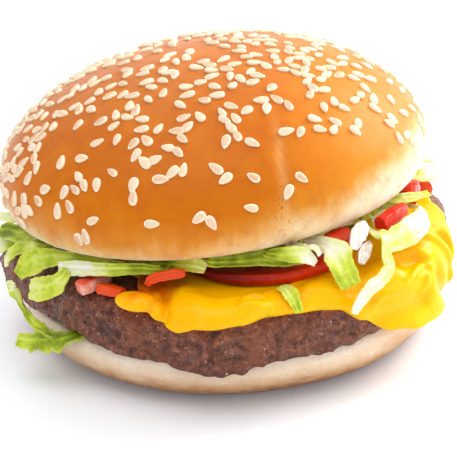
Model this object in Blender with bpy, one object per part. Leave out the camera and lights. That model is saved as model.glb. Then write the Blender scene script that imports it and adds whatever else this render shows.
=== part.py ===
"""Hamburger: a sesame bun round a beef patty, melted cheese, tomato, onion and shredded lettuce.

Lengths are millimetres here, and new_object() turns them into metres. The origin is the middle of
the heel's flat underside, +Z is up and -Y is the front. Azimuths are degrees round the upright
axis, 0 at the front and 90 on the right.
"""

import math

import bmesh
import bpy
import numpy as np
from mathutils import Euler, Vector, noise

TO_METRES = 0.001
GAP = 0.35

# Heel, the lower half of the bun.
HEEL_BASE_RADIUS = 42.0
HEEL_RADIUS = 50.0
HEEL_WIDEST_Z = 8.4
HEEL_TOP_RADIUS = 48.3
HEEL_TOP_Z = 12.0
HEEL_BELLY_POWER = 1.85
BUN_UNEVENNESS = 0.35

# Crown, the upper half. It rests on a filling that is deeper on the right, so it tilts.
CROWN_RADIUS = 49.5
CROWN_DOME = 25.6
CROWN_BELOW_WIDEST = 6.3
CROWN_CUT_RADIUS = 45.1
CROWN_CENTRE = Vector((-3.4, 1.7, 39.4))
CROWN_TILT = math.radians(-4.8)

# Sesame seeds on the crown. The draws are shared with nothing else, so their order is fixed.
SEED_LENGTH = 3.25
SEED_WIDTH = 1.9
SEED_THICKNESS = 1.15
SEED_SINK = 0.42
SEED_DRAWS = 580
SEED_SPACING = 2.15
# The share of seeds that fall beside an earlier one, and how far from it in mm.
SEED_FOLLOWING = 0.3
SEED_STEP = (2.2, 4.0)
SEED_CLIMB_RADIUS = 38
SEED_TURN_RADIUS = 12.0
# The lowest and highest climb of a seed. They thin out to SEED_LOW_SHARE down to SEED_THIN_TO.
SEED_LOWEST, SEED_HIGHEST = -5, 89
SEED_LOW_SHARE = 0.25
SEED_THIN_FROM, SEED_THIN_TO = 32, -2
# The nearly bare side as (azimuth, width, share), and the climbs between which it ends.
SEED_BARE = (28, 46, 0.93)
SEED_BARE_FROM, SEED_BARE_TO = 24, 52
# A seed's girth along it, from the pointed end, as (share of its length, share of its width).
SEED_GIRTHS = ((0.10, 0.78), (-0.30, 0.88))
FUSED_SEED_SPACING = 7.7
SEED_RANDOM_STATE = 11

# Patty: a pressed disc with an uneven outline. Each lump is (azimuth, width, height).
PATTY_RADIUS = 51.2
PATTY_UNDERSIDE = HEEL_TOP_Z + 0.4
PATTY_TOP = 23.2
PATTY_MIDDLE = 17.8
PATTY_TOP_EDGE = 5.0
PATTY_LUMPS = (
    (-85, 16, 3.2),
    (-58, 12, -1.2),
    (-4, 9, 2.4),
    (74, 22, -3.1),
    (101, 9, 3.4),
    (150, 22, 1.4),
    (-140, 25, 1.2),
)
# From the widest line down: how far in from it, and the height.
PATTY_LOW_SIDE = ((0.05, 15.6), (0.2, 13.8), (0.5, 12.7), (1.1, PATTY_UNDERSIDE + 0.05))
# How far the lower rim rises or sags past the heel, by azimuth. The leaf is pinned where it rises.
PATTY_SAG = (
    (-180, 0.0),
    (-62, 0.2),
    (-52, 1.2),
    (-42, 1.35),
    (-35, 0.2),
    (-28, -0.9),
    (-17, -0.9),
    (-11, -1.8),
    (-5, -2.3),
    (0, -2.1),
    (5, -1.2),
    (12, -0.9),
    (26, -1.0),
    (34, -0.2),
    (44, 0.0),
)
PATTY_SAG_TOP = PATTY_MIDDLE - 1.5
PATTY_SAG_DEPTH = 2.5
PATTY_FLAT_RADIUS = 41.0
# The crags' height, the sizes that they come in, and how they fade above and below.
PATTY_CRAGS = 0.55
PATTY_CRAG_SIZES = (3.1, 7.0)
PATTY_FADE_ABOVE = 2.0
PATTY_FADE_BELOW = 0.4

# Cheese: a melted slice that follows the patty's skin. Each point of CHEESE_EDGE is (azimuth, how
# far the edge reaches past the flat of the patty's top).
CHEESE_THICKNESS = 2.1
CHEESE_TOP_GAP = 0.45
CHEESE_SIDE_GAP = 1.3
CHEESE_FOLDS = 0.8
CHEESE_FOLD_SIZE = 6
# The slice is flat up to this share of the patty's flat top, or of its own reach.
CHEESE_FLAT_SHARE = 0.88
CHEESE_FLAT_REACH = 0.8
CHEESE_EDGE = (
    (-180, 1.0),
    (-150, 2.5),
    (-128, 6.5),
    (-108, -3.0),
    (-80, -12.0),
    (-45, -12.0),
    (-32, -7.5),
    (-25, -0.6),
    (-18, 4.9),
    (-13, 5.5),
    (-6, 5.3),
    (0, 4.8),
    (8, 4.3),
    (16, 4.4),
    (24, 5.2),
    (29, 7.8),
    (37, 12.0),
    (46, 14.2),
    (58, 14.4),
    (67, 12.6),
    (77, 8.4),
    (84, 5.2),
    (90, 2.0),
    (96, -0.6),
    (102, -3.0),
    (109, -4.0),
    (116, 0.5),
    (135, 5.0),
    (150, 9.4),
    (164, 4.0),
)
CHEESE_DRAPE = (55, 16, 1.7)
# Folds that lie on the slice: (centre, half sizes, turn about the upright axis, dip).
CHEESE_LOBES = (
    ((-19.9, -46.1, 24.9), (4.9, 2.9, 1.9), -23, 0),
    ((3.0, -51.9, 24.7), (3.4, 1.5, 2.2), 0, 0),
    ((19.4, -44.4, 25.5), (6.6, 3.2, 1.4), 26, 6),
)

# Tomato: three slices side by side on the cheese, and chopped pieces at the rim.
SLICE_RADII = {"front": 19.4, "right": 19.4, "left": 16.6}
SLICE_DISTANCES = {"front": 26.0, "right": 25.0, "left": 20.2}
SLICE_AZIMUTHS = {"front": 14, "right": 127, "left": -117}
SLICE_THICKNESS = 2.6
SLICE_SKIN = 0.9
SLICE_UNDERSIDE = PATTY_TOP + CHEESE_TOP_GAP + CHEESE_THICKNESS + GAP
SLICE_TOP = SLICE_UNDERSIDE + SLICE_THICKNESS
# Each wedge is (centre, length, width, height, turn about the upright axis, dip of its far end).
TOMATO_WEDGES = {
    "tomato_wedge_left": ((-29.4, -36.2, 25.2), 8.0, 4.0, 2.9, 44, 0),
    "tomato_wedge_front_left": ((-25.4, -40.1, 24.9), 5.8, 2.6, 2.3, -30, 0),
    "tomato_wedge_front_right": ((21.9, -37.6, 33.7), 5.4, 3.6, 2.6, 32, -4),
    "tomato_wedge_right": ((34.2, -29.8, 34.3), 9.6, 4.0, 3.0, 50, -3),
    "tomato_wedge_far_right": ((40.4, -15.4, 34.1), 7.6, 4.4, 3.2, 72, -2),
    "tomato_wedge_back_right": ((46.0, 5.4, 27.7), 7.0, 4.4, 3.0, 96, 0),
}
# A wedge's cross-section, as shares of its width and height, its size along its length, and how
# far its ends are cut askew.
WEDGE_OUTLINE = (
    (-0.34, 0.5), (0.22, 0.46), (0.5, 0.12), (0.34, -0.5), (-0.42, -0.46), (-0.5, -0.1),
)
WEDGE_TAPER = ((-0.5, 0.93), (-0.46, 1.0), (0.1, 1.0), (0.46, 0.78), (0.5, 0.7))
WEDGE_SKEW = 0.22
# A strip of tomato skin that stands on the cheese, as points along it with its width there.
TOMATO_STRIP = (
    (-17.6, -44.6, 27.7, 1.4), (-16.8, -44.4, 28.8, 1.9), (-15.2, -44.5, 29.5, 2.0),
    (-12.4, -44.4, 29.9, 2.0), (-9.8, -44.2, 29.9, 1.4),
)
TOMATO_STRIP_THICKNESS = 1.1

# Onion: thin curved slivers at the right, as points along them with their width there.
ONION_SLIVERS = {
    "onion_sliver_upper": (
        (27.8, -37.0, 35.4, 1.6), (26.7, -38.6, 35.3, 3.2), (25.4, -40.3, 34.7, 3.8),
        (24.7, -41.8, 33.3, 2.8), (24.5, -42.3, 32.4, 1.6),
    ),
    "onion_sliver_lower": (
        (28.4, -38.0, 31.7, 1.4), (27.5, -39.6, 31.4, 2.5), (26.5, -41.4, 30.8, 2.9),
        (25.9, -42.6, 29.3, 1.6),
    ),
}
ONION_THICKNESS = 0.8

# Lettuce: a wedge-shaped bed under the crown, with the shreds that show fused to it.
BED_UNDERSIDE = SLICE_TOP + 0.55
BED_RADIUS = 37.0
BED_LEFT_RADIUS = 31.0
# The bed's rings from its top to its underside, as (share of its radius, share of its height).
BED_RINGS = ((0.55, 1), (0.96, 1), (1.0, 0.5), (0.96, 0), (0.55, 0))
LEAF_THICKNESS = 0.55
LEAF_CURL = 0.12
LEAF_RUFFLE = 0.14
SHRED_ROOTS = (26, 33)
# Each shred is (azimuth and height of its root in the bed, the way its face looks, and points
# along it with its width there).
SHREDS = (
    (-34, 30.1, (-0.5, -0.7, 0.5), (
        (-21.5, -39.4, 29.8, 2.4), (-26.5, -36.8, 29.3, 2.8), (-30.8, -34.2, 28.9, 3.0),
        (-35.2, -31.4, 28.6, 3.2), (-39.3, -29.4, 28.0, 4.2), (-42.6, -28.0, 26.7, 5.8),
        (-44.9, -27.5, 25.1, 5.4), (-46.6, -28.2, 23.6, 3.6))),
    (-26, 30.4, (-0.45, -0.8, 0.4), (
        (-14.0, -42.2, 30.2, 1.8), (-19.0, -41.7, 30.1, 2.2), (-23.6, -40.3, 29.5, 2.6),
        (-28.4, -37.9, 28.8, 2.9), (-32.5, -36.0, 28.3, 3.3), (-36.8, -33.6, 27.5, 2.6))),
    (-44, 30.0, (-0.35, -0.75, 0.6), (
        (-33.4, -34.0, 28.0, 2.4), (-36.2, -36.0, 26.0, 3.4), (-38.0, -36.4, 24.6, 5.0),
        (-40.8, -35.0, 23.4, 5.4), (-43.6, -32.4, 22.3, 4.0))),
    (-68, 29.7, (-0.1, -0.6, 0.8), (
        (-42.0, -21.6, 28.2, 3.8), (-45.6, -17.0, 27.7, 4.6), (-49.8, -12.4, 27.3, 4.6),
        (-53.4, -9.4, 26.6, 3.0))),
    (-86, 29.7, (-0.1, -0.4, 0.9), (
        (-45.0, -7.0, 27.9, 3.4), (-49.0, -4.8, 27.4, 3.6), (-52.4, -2.4, 27.1, 3.2),
        (-55.0, -0.6, 27.0, 2.2))),
    (-60, 29.7, (-0.6, -0.6, 0.5), (
        (-40.6, -25.2, 28.7, 2.6), (-44.2, -23.0, 27.9, 3.0), (-47.4, -20.8, 26.8, 3.0),
        (-49.4, -20.8, 25.0, 2.6), (-50.0, -22.6, 23.6, 1.6))),
    (-74, 29.7, (-0.8, -0.4, 0.45), (
        (-44.4, -14.6, 27.2, 3.2), (-49.0, -12.4, 25.4, 4.0), (-52.8, -10.6, 23.6, 4.2),
        (-55.4, -9.0, 21.4, 3.0))),
    (-24, 31.0, (-0.1, -0.85, 0.5), (
        (-18.6, -38.6, 30.3, 2.2), (-14.8, -40.2, 30.6, 2.6), (-10.4, -41.6, 30.7, 2.8),
        (-7.2, -42.6, 30.7, 3.0), (-5.6, -43.2, 30.1, 2.2))),
    (-6, 31.6, (0.05, -0.85, 0.5), (
        (-5.4, -41.6, 31.5, 2.4), (-0.2, -43.0, 31.6, 2.8), (5.9, -43.4, 32.0, 3.4),
        (10.6, -43.2, 31.7, 3.6), (14.2, -42.4, 31.1, 2.6))),
    (8, 32.6, (0.2, -0.85, 0.5), (
        (6.4, -42.2, 32.9, 1.6), (8.8, -45.0, 33.5, 2.4), (11.2, -45.9, 33.6, 3.2),
        (13.4, -45.7, 33.4, 3.3), (15.2, -45.3, 32.4, 2.7), (16.5, -45.0, 30.9, 1.4))),
    (16, 33.2, (0.8, -0.5, 0.3), (
        (12.4, -40.0, 33.3, 1.2), (14.8, -43.4, 34.1, 1.4), (16.6, -44.4, 34.0, 1.4),
        (17.6, -44.6, 32.6, 1.2))),
    (22, 33.2, (0.3, -0.9, 0.35), (
        (15.4, -37.6, 33.2, 2.0), (18.8, -42.2, 33.9, 3.0), (20.8, -44.0, 32.6, 5.6),
        (22.0, -45.4, 29.9, 5.6), (23.6, -47.4, 26.6, 4.2))),
    (46, 33.0, (0.5, -0.8, 0.3), (
        (28.8, -35.8, 33.4, 1.8), (31.4, -39.8, 33.6, 2.8), (31.2, -42.0, 31.0, 2.8),
        (31.6, -43.2, 28.4, 2.6), (29.8, -46.0, 27.4, 2.8), (27.0, -48.4, 26.2, 3.0),
        (24.8, -49.8, 24.0, 2.6), (23.8, -50.0, 21.8, 1.6))),
    (66, 31.2, (0.5, -0.7, 0.45), (
        (41.0, -18.0, 31.2, 2.2), (41.4, -24.8, 31.4, 4.4), (38.2, -31.4, 31.8, 5.6),
        (34.4, -36.0, 31.8, 5.4), (31.2, -39.6, 31.7, 3.4))),
    (58, 34.2, (0.3, -0.4, 0.9), (
        (34.4, -23.0, 35.0, 2.2), (39.2, -22.8, 35.4, 2.6), (43.6, -20.4, 35.2, 1.8))),
    (84, 33.8, (0.2, -0.4, 0.9), (
        (42.4, -6.0, 33.9, 3.2), (46.6, -4.4, 33.6, 3.6), (50.2, -1.6, 32.6, 2.4))),
    (98, 32.0, (0.3, 0.1, 0.95), (
        (43.4, 6.4, 33.0, 3.4), (47.0, 8.2, 32.6, 3.8), (50.2, 9.6, 31.2, 2.4))),
)
# A bit of lettuce that lies on the cheese, as (azimuth, along, width), and how far above it.
LETTUCE_BIT = ((11.6, 46.9, 2.2), (12.6, 48.0, 3.2), (13.2, 49.4, 2.8), (13.6, 51.0, 1.6))
LETTUCE_BIT_LIFT = 0.62
# Shreds round the rim that the front doesn't show: the azimuths from and to, and how many.
RIM_SHREDS_FROM, RIM_SHREDS_TO, RIM_SHREDS = 102, 262, 11
RIM_RANDOM_STATE = 5
RIM_STRAY = 4
RIM_SWING = 9
RIM_START = 43
RIM_START_DROP = (1.5, 2.1)
RIM_REACH = (48, 54)
RIM_WIDTH = (3.6, 6)
RIM_DROP = (1.2, 3.6)
RIM_TIP_LOWEST = PATTY_TOP + CHEESE_THICKNESS + 2.2
# The leaf that the patty pins to the heel at the left, and the strip that rises from it.
LOWER_LEAF = (
    ((-0.3, -0.5, 0.8), (
        (-31.6, -34.0, 12.64, 3.4), (-34.6, -36.2, 12.6, 4.0), (-37.4, -36.4, 11.6, 4.4),
        (-40.8, -34.8, 10.6, 4.8), (-44.6, -32.6, 9.7, 4.6), (-48.0, -31.4, 9.6, 2.6))),
    ((-0.75, -0.6, 0.25), (
        (-38.8, -35.0, 11.4, 1.6), (-41.6, -32.0, 12.0, 2.0), (-44.4, -29.2, 13.2, 2.4),
        (-46.4, -27.6, 15.6, 2.6), (-47.6, -27.0, 18.4, 3.0), (-48.8, -26.6, 20.6, 3.0),
        (-47.6, -29.0, 21.4, 1.6))),
)

# Colours, with roughness last.
CRUST = (0.62, 0.27, 0.06, 0.38)
CRUMB = (0.80, 0.60, 0.38, 0.75)
MEAT = (0.13, 0.05, 0.035, 0.5)
CHEESE = (0.95, 0.55, 0.02, 0.3)
TOMATO = (0.62, 0.04, 0.02, 0.3)
ONION = (0.85, 0.80, 0.68, 0.4)
LETTUCE = (0.42, 0.55, 0.10, 0.5)


def place(radius, azimuth, z):
    """The point at that distance from the upright axis, azimuth and height."""
    turn = math.radians(azimuth)
    return Vector((radius * math.sin(turn), -radius * math.cos(turn), z))


def azimuths(count):
    return [360 * k / count for k in range(count)]


def apart(azimuth, other):
    """The signed difference of two azimuths, from -180 to 180."""
    return (azimuth - other + 180) % 360 - 180


def clamped(share):
    return min(1, max(0, share))


def lump(azimuth, centre, width, height):
    return height * math.exp(-((apart(azimuth, centre) / width) ** 2))


def eased(value, stops):
    """Reads a table of (azimuth, amount) round the circle, eased between its stops."""
    value = (value + 180) % 360 - 180
    closed = (*stops, (stops[0][0] + 360, stops[0][1]))
    for (a, low), (b, high) in zip(closed, closed[1:]):
        if a <= value <= b:
            t = (value - a) / (b - a)
            return low + (high - low) * t * t * (3 - 2 * t)
    raise ValueError(value)


def material(name, colour):
    made = bpy.data.materials.new(name)
    made.use_nodes = True
    shader = made.node_tree.nodes["Principled BSDF"]
    shader.inputs["Base Color"].default_value = (*colour[:3], 1)
    shader.inputs["Roughness"].default_value = colour[3]
    shader.inputs["Metallic"].default_value = 0
    made.diffuse_color = (*colour[:3], 1)
    return made


def new_object(name, points, faces, finish, smooth=True):
    mesh = bpy.data.meshes.new(name)
    mesh.from_pydata([Vector(p) * TO_METRES for p in points], [], faces)
    mesh.materials.append(finish)
    if smooth:
        mesh.shade_smooth()
        mesh.set_sharp_from_angle(angle=math.radians(50))
    obj = bpy.data.objects.new(name, mesh)
    bpy.context.collection.objects.link(obj)
    return obj


def ringed(rings):
    """Points and faces of a closed skin over rings of equal count, top to bottom.

    An end of one point is a pole, and any other end is closed by one flat face.
    """
    points, faces, starts = [], [], []
    for ring in rings:
        starts.append(len(points))
        points.extend(ring)
    for k in range(len(rings) - 1):
        above, below = rings[k], rings[k + 1]
        count = max(len(above), len(below))
        for i in range(count):
            j = (i + 1) % count
            upper = [starts[k] + i % len(above), starts[k] + j % len(above)]
            lower = [starts[k + 1] + j % len(below), starts[k + 1] + i % len(below)]
            corners = upper[:1] + lower[::-1] + upper[1:]
            faces.append(list(dict.fromkeys(corners)))
    if len(rings[0]) > 1:
        faces.append(list(range(len(rings[0]))))
    if len(rings[-1]) > 1:
        faces.append([starts[-1] + i for i in reversed(range(len(rings[-1])))])
    return points, faces


def arc(start, end, steps):
    """Angles in radians from start to end degrees, both included."""
    return [math.radians(start + (end - start) * k / steps) for k in range(steps + 1)]


def unevenness(point, amount, scale):
    """Smooth noise from -amount to amount, with features of about that many millimetres."""
    return amount * noise.noise(Vector(point) / scale)


def heel_rings(count=56):
    """Top face to underside: a rounded shoulder, a belly and a curve in to the flat base."""
    shoulder = [
        (HEEL_TOP_RADIUS + (HEEL_RADIUS - HEEL_TOP_RADIUS) * math.sin(a),
         HEEL_WIDEST_Z + (HEEL_TOP_Z - HEEL_WIDEST_Z) * math.cos(a))
        for a in arc(0, 90, 3)
    ]
    belly = [
        (HEEL_BASE_RADIUS + (HEEL_RADIUS - HEEL_BASE_RADIUS) * math.cos(a) ** HEEL_BELLY_POWER,
         HEEL_WIDEST_Z * (1 - math.sin(a)))
        for a in arc(18, 90, 4)
    ]
    rings = []
    for radius, z in shoulder + belly:
        ring = []
        for azimuth in azimuths(count):
            point = place(radius, azimuth, z)
            ring.append(place(radius + unevenness(point, BUN_UNEVENNESS, 22), azimuth, z))
        rings.append(ring)
    return rings


def crown_frame(point):
    """From the crown's own frame, level and centred on its widest line, to where it lies."""
    return Euler((0, CROWN_TILT, 0)).to_matrix() @ Vector(point) + CROWN_CENTRE


def dome_point(azimuth, climb):
    """A point of the dome in the crown's frame. climb is 0 at the widest line and 90 on top."""
    a = math.radians(climb)
    point = place(CROWN_RADIUS * math.cos(a), azimuth, CROWN_DOME * math.sin(a))
    return point * (1 + unevenness(point, BUN_UNEVENNESS, 30) / CROWN_RADIUS)


def crown_rings(count=48):
    rings = [[dome_point(0, 90)]]
    for climb in (80, 68, 56, 44, 33, 22, 11, 0):
        rings.append([dome_point(azimuth, climb) for azimuth in azimuths(count)])
    for a in arc(0, 90, 4)[1:]:
        radius = CROWN_CUT_RADIUS + (CROWN_RADIUS - CROWN_CUT_RADIUS) * math.cos(a)
        z = -CROWN_BELOW_WIDEST * math.sin(a)
        rings.append([place(radius, azimuth, z) for azimuth in azimuths(count)])
    return [[crown_frame(p) for p in ring] for ring in rings]


def crown_underside(x):
    """Height of the crown's cut face above a point of that x, near enough for its small tilt."""
    slope = -math.tan(CROWN_TILT)
    return CROWN_CENTRE.z - CROWN_BELOW_WIDEST + slope * (x - CROWN_CENTRE.x)


def seed_share(azimuth, climb):
    """How thickly the seeds lie there, from 0 to 1: few on the lower right of the front."""
    low = clamped((climb - SEED_THIN_TO) / (SEED_THIN_FROM - SEED_THIN_TO))
    bare = clamped((SEED_BARE_TO - climb) / (SEED_BARE_TO - SEED_BARE_FROM))
    bare *= lump(azimuth, *SEED_BARE)
    return (SEED_LOW_SHARE + (1 - SEED_LOW_SHARE) * low) * (1 - bare)


def seed_places():
    """(azimuth, climb, spin) of each seed. Some of them fall beside an earlier one."""
    draw = np.random.RandomState(SEED_RANDOM_STATE)
    found, spots = [], []
    for _ in range(40 * SEED_DRAWS):
        azimuth = draw.uniform(0, 360)
        climb = math.degrees(math.asin(draw.uniform(-0.07, 1)))
        spin, luck, follow = draw.uniform(0, 360), draw.uniform(), draw.uniform()
        turn, step = draw.uniform(0, 360), draw.uniform(*SEED_STEP)
        if follow < SEED_FOLLOWING and found:
            near = found[int(luck * len(found)) % len(found)]
            climb = near[1] + math.degrees(step * math.cos(math.radians(turn)) / SEED_CLIMB_RADIUS)
            across = max(SEED_TURN_RADIUS, CROWN_RADIUS * math.cos(math.radians(near[1])))
            azimuth = near[0] + math.degrees(step * math.sin(math.radians(turn)) / across)
        elif luck > seed_share(azimuth, climb):
            continue
        if not SEED_LOWEST < climb < SEED_HIGHEST:
            continue
        spot = dome_point(azimuth, climb)
        if any((spot - other).length < SEED_SPACING for other in spots):
            continue
        found.append((azimuth, climb, spin))
        spots.append(spot)
        if len(found) == SEED_DRAWS:
            break
    return found


def seed_frame(azimuth, climb, spin):
    """Where a seed lies on the dome, its long way, its wide way and the outward normal."""
    spot = dome_point(azimuth, climb)
    outward = Vector((
        spot.x / CROWN_RADIUS**2, spot.y / CROWN_RADIUS**2, spot.z / CROWN_DOME**2,
    )).normalized()
    level = Vector((0, 0, 1)).cross(outward).normalized()
    upward = outward.cross(level)
    a = math.radians(spin)
    along = level * math.cos(a) + upward * math.sin(a)
    return spot, along, outward.cross(along), outward


def seed_rings(azimuth, climb, spin, sides=5):
    """A drop: pointed at one end, blunt at the other, and sunk a little into the crust."""
    spot, along, across, outward = seed_frame(azimuth, climb, spin)
    centre = spot + outward * (SEED_THICKNESS / 2 - SEED_SINK)
    rings = [[centre + along * (0.5 * SEED_LENGTH)]]
    for reach, girth in SEED_GIRTHS:
        ring = []
        for azimuth_round in azimuths(sides):
            a = math.radians(azimuth_round)
            ring.append(
                centre + along * (reach * SEED_LENGTH)
                + across * (0.5 * girth * SEED_WIDTH * math.sin(a))
                + outward * (0.5 * girth * SEED_THICKNESS * math.cos(a))
            )
        rings.append(ring)
    rings.append([centre - along * (0.5 * SEED_LENGTH)])
    return [[crown_frame(p) for p in ring] for ring in rings]


def fused_seeds():
    """The seeds that the solid carries: those that stand well apart, found in the same order."""
    kept, spots = [], []
    for seed in seed_places():
        spot = dome_point(seed[0], seed[1])
        if all((spot - other).length > FUSED_SEED_SPACING for other in spots):
            kept.append(seed)
            spots.append(spot)
    return kept


def patty_radius(azimuth):
    return PATTY_RADIUS + sum(lump(azimuth, *bump) for bump in PATTY_LUMPS)


def patty_rings(count=84):
    rings = [[place(share * patty_radius(azimuth), azimuth, PATTY_TOP) for azimuth in azimuths(count)]
             for share in (0.45, 0.8)]
    side = [
        (PATTY_TOP_EDGE * (1 - math.sin(a)), PATTY_MIDDLE + (PATTY_TOP - PATTY_MIDDLE) * math.cos(a))
        for a in arc(0, 90, 4)
    ]
    for inset, z in side + list(PATTY_LOW_SIDE):
        lowness = clamped((PATTY_SAG_TOP - z) / PATTY_SAG_DEPTH)
        roughness = min(
            1, (PATTY_TOP - z) / PATTY_FADE_ABOVE, (z - PATTY_UNDERSIDE + 0.1) / PATTY_FADE_BELOW,
        )
        ring = []
        for azimuth in azimuths(count):
            sagged = z + lowness * eased(azimuth, PATTY_SAG)
            point = place(patty_radius(azimuth) - inset, azimuth, sagged)
            crag = sum(unevenness(point, PATTY_CRAGS, size) for size in PATTY_CRAG_SIZES)
            ring.append(place(patty_radius(azimuth) - inset + crag * roughness, azimuth, sagged))
        rings.append(ring)
    for radius, share in ((HEEL_TOP_RADIUS + 0.3, 1), (PATTY_FLAT_RADIUS, 0)):
        rings.append([
            place(radius, azimuth, PATTY_UNDERSIDE + share * max(0, eased(azimuth, PATTY_SAG)))
            for azimuth in azimuths(count)
        ])
    return rings


def over_patty(azimuth, along, lift):
    """A point lift above the patty's skin, along it by that far from the middle of its top."""
    half = PATTY_TOP - PATTY_MIDDLE
    flat = patty_radius(azimuth) - PATTY_TOP_EDGE
    quarter = math.pi / 4 * (PATTY_TOP_EDGE + half)
    if along < flat:
        return place(along, azimuth, PATTY_TOP + lift)
    turn = (along - flat) / quarter * math.pi / 2
    if turn < math.pi / 2:
        return place(
            flat + (PATTY_TOP_EDGE + lift) * math.sin(turn),
            azimuth,
            PATTY_MIDDLE + (half + lift) * math.cos(turn),
        )
    return place(flat + PATTY_TOP_EDGE + lift, azimuth, PATTY_MIDDLE - (along - flat - quarter))


def cheese_lift(azimuth, along, thickness):
    """How far that share of the cheese's thickness lies above the patty's skin there."""
    on_side = clamped((along - (patty_radius(azimuth) - PATTY_TOP_EDGE) + 1) / 4)
    lift = CHEESE_TOP_GAP + (CHEESE_SIDE_GAP - CHEESE_TOP_GAP) * on_side
    draped = lump(azimuth, *CHEESE_DRAPE) * on_side
    fold = unevenness((azimuth / 2, along / 3, 0), CHEESE_FOLDS, CHEESE_FOLD_SIZE) * on_side
    return lift + thickness * (CHEESE_THICKNESS + draped + fold)


def cheese_point(azimuth, share, thickness):
    """share is 0 where the slice is still flat and 1 at its edge. thickness is 0 to 1 through it."""
    flat = patty_radius(azimuth) - PATTY_TOP_EDGE
    edge = flat + eased(azimuth, CHEESE_EDGE)
    start = min(CHEESE_FLAT_SHARE * flat, CHEESE_FLAT_REACH * edge)
    along = start + (edge - start) * share
    return over_patty(azimuth, along, cheese_lift(azimuth, along, thickness))


def cheese_rings(count=60):
    """Over the top from the middle to the melted edge, round it and back along the patty."""
    middle = 0.45 * PATTY_RADIUS
    top = PATTY_TOP + CHEESE_TOP_GAP
    steps = (0, 0.25, 0.5, 0.75, 0.95)
    rings = [[place(middle, azimuth, top + CHEESE_THICKNESS) for azimuth in azimuths(count)]]
    for share in steps:
        rings.append([cheese_point(azimuth, share, 1) for azimuth in azimuths(count)])
    rings.append([cheese_point(azimuth, 1, 0.6) for azimuth in azimuths(count)])
    for share in (1, *reversed(steps[:-1])):
        rings.append([cheese_point(azimuth, share, 0) for azimuth in azimuths(count)])
    rings.append([place(middle, azimuth, top) for azimuth in azimuths(count)])
    return rings


def lobe_rings(centre, sizes, turn, dip, sides=12):
    turned = Euler((0, math.radians(dip), math.radians(turn))).to_matrix()
    rings = []
    for a in arc(90, -90, 6):
        sides_here = 1 if abs(math.cos(a)) < 0.01 else sides
        ring = []
        for azimuth in azimuths(sides_here):
            spot = place(math.cos(a), azimuth, math.sin(a))
            scaled = Vector((spot.x * sizes[0], spot.y * sizes[1], spot.z * sizes[2]))
            ring.append(turned @ scaled + Vector(centre))
        rings.append(ring)
    return rings


def slice_rings(side, count=22):
    """A round tomato slice with a rounded skin, at rest on the cheese."""
    azimuth = SLICE_AZIMUTHS[side]
    centre = place(SLICE_DISTANCES[side], azimuth, 0)
    middle, half = (SLICE_TOP + SLICE_UNDERSIDE) / 2, (SLICE_TOP - SLICE_UNDERSIDE) / 2
    rings = []
    skin = ((SLICE_SKIN, half), (0, 0.35 * half), (0, -0.35 * half), (SLICE_SKIN, -half))
    for inset, height in skin:
        ring = []
        for turn in azimuths(count):
            radius = SLICE_RADII[side] - inset + unevenness((turn / 20, azimuth, 0), 0.5, 2)
            ring.append(centre + place(radius, turn, middle + height))
        rings.append(ring)
    return rings


def wedge(centre, length, width, height, turn, dip):
    """A chopped piece: flat cut faces, its ends cut askew, narrower at the far end."""
    turned = Euler((0, math.radians(dip), math.radians(turn))).to_matrix()
    rings = []
    for share, size in WEDGE_TAPER:
        ring = []
        for y, z in WEDGE_OUTLINE:
            local = Vector((
                share * length + WEDGE_SKEW * y * width, y * width * size, z * height * size,
            ))
            ring.append(turned @ local + Vector(centre))
        rings.append(ring)
    return rings


def smooth_route(points, steps):
    """steps + 1 points, evenly shared over a smooth curve through these. All may carry a width."""
    p = [Vector(q) for q in points]
    p = [2 * p[0] - p[1], *p, 2 * p[-1] - p[-2]]
    route = []
    for k in range(steps + 1):
        at = k / steps * (len(p) - 3)
        i = min(int(at), len(p) - 4)
        t = at - i
        a, b, c, d = p[i : i + 4]
        route.append(0.5 * (
            2 * b + (c - a) * t + (2 * a - 5 * b + 4 * c - d) * t * t
            + (3 * b - a - 3 * c + d) * t**3
        ))
    return route


def ribbon(route, faces_at, thickness, across=2, curl=0.0, ruffle=0.0, phase=0.0):
    """Points and faces of a thin wavy strip. Both faces are split into triangles alike.

    The route's points carry the strip's width. faces_at gives the way its upper face looks, for
    a share of its length. curl and ruffle are shares of the width there.
    """
    steps = len(route) - 1
    upper, lower = [], []
    for i, centre in enumerate(route):
        share = i / steps
        ahead = (route[min(i + 1, steps)] - route[max(i - 1, 0)]).xyz.normalized()
        side = ahead.cross(faces_at(share)).normalized()
        face = side.cross(ahead)
        half = 0.5 * centre.w
        for j in range(across + 1):
            v = 2 * j / across - 1
            lift = half * (curl * v * v + ruffle * v * math.sin(4.4 * math.pi * share + phase))
            point = centre.xyz + side * (half * v) + face * lift
            upper.append(point + face * (thickness / 2))
            lower.append(point - face * (thickness / 2))
    row, count = across + 1, len(upper)
    faces = []
    for i in range(steps):
        for j in range(across):
            a, b = i * row + j, i * row + j + 1
            c, d = b + row, a + row
            faces += [(a, b, c), (a, c, d)]
            faces += [(count + c, count + b, count + a), (count + d, count + c, count + a)]
    rim = [j for j in range(across)] + [i * row + across for i in range(steps)]
    rim += [steps * row + across - j for j in range(across)] + [(steps - i) * row for i in range(steps)]
    for a, b in zip(rim, rim[1:] + rim[:1]):
        faces += [(b, a, count + a), (b, count + a, count + b)]
    return upper + lower, faces


def bed_normal():
    return Vector((math.sin(CROWN_TILT), 0, math.cos(CROWN_TILT)))


def shred(azimuth, height, look, points, steps, across):
    """A shred from inside the bed out through these points."""
    roots = [(*place(radius, azimuth, height), points[0][3]) for radius in SHRED_ROOTS]
    route = smooth_route([*roots, *points], steps)
    turned = Vector(look).normalized()

    def faces_at(share):
        t = clamped(share * (len(points) + 1) - 1.2)
        return bed_normal().lerp(turned, t).normalized()

    return ribbon(route, faces_at, LEAF_THICKNESS, across, LEAF_CURL, LEAF_RUFFLE, azimuth)


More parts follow.
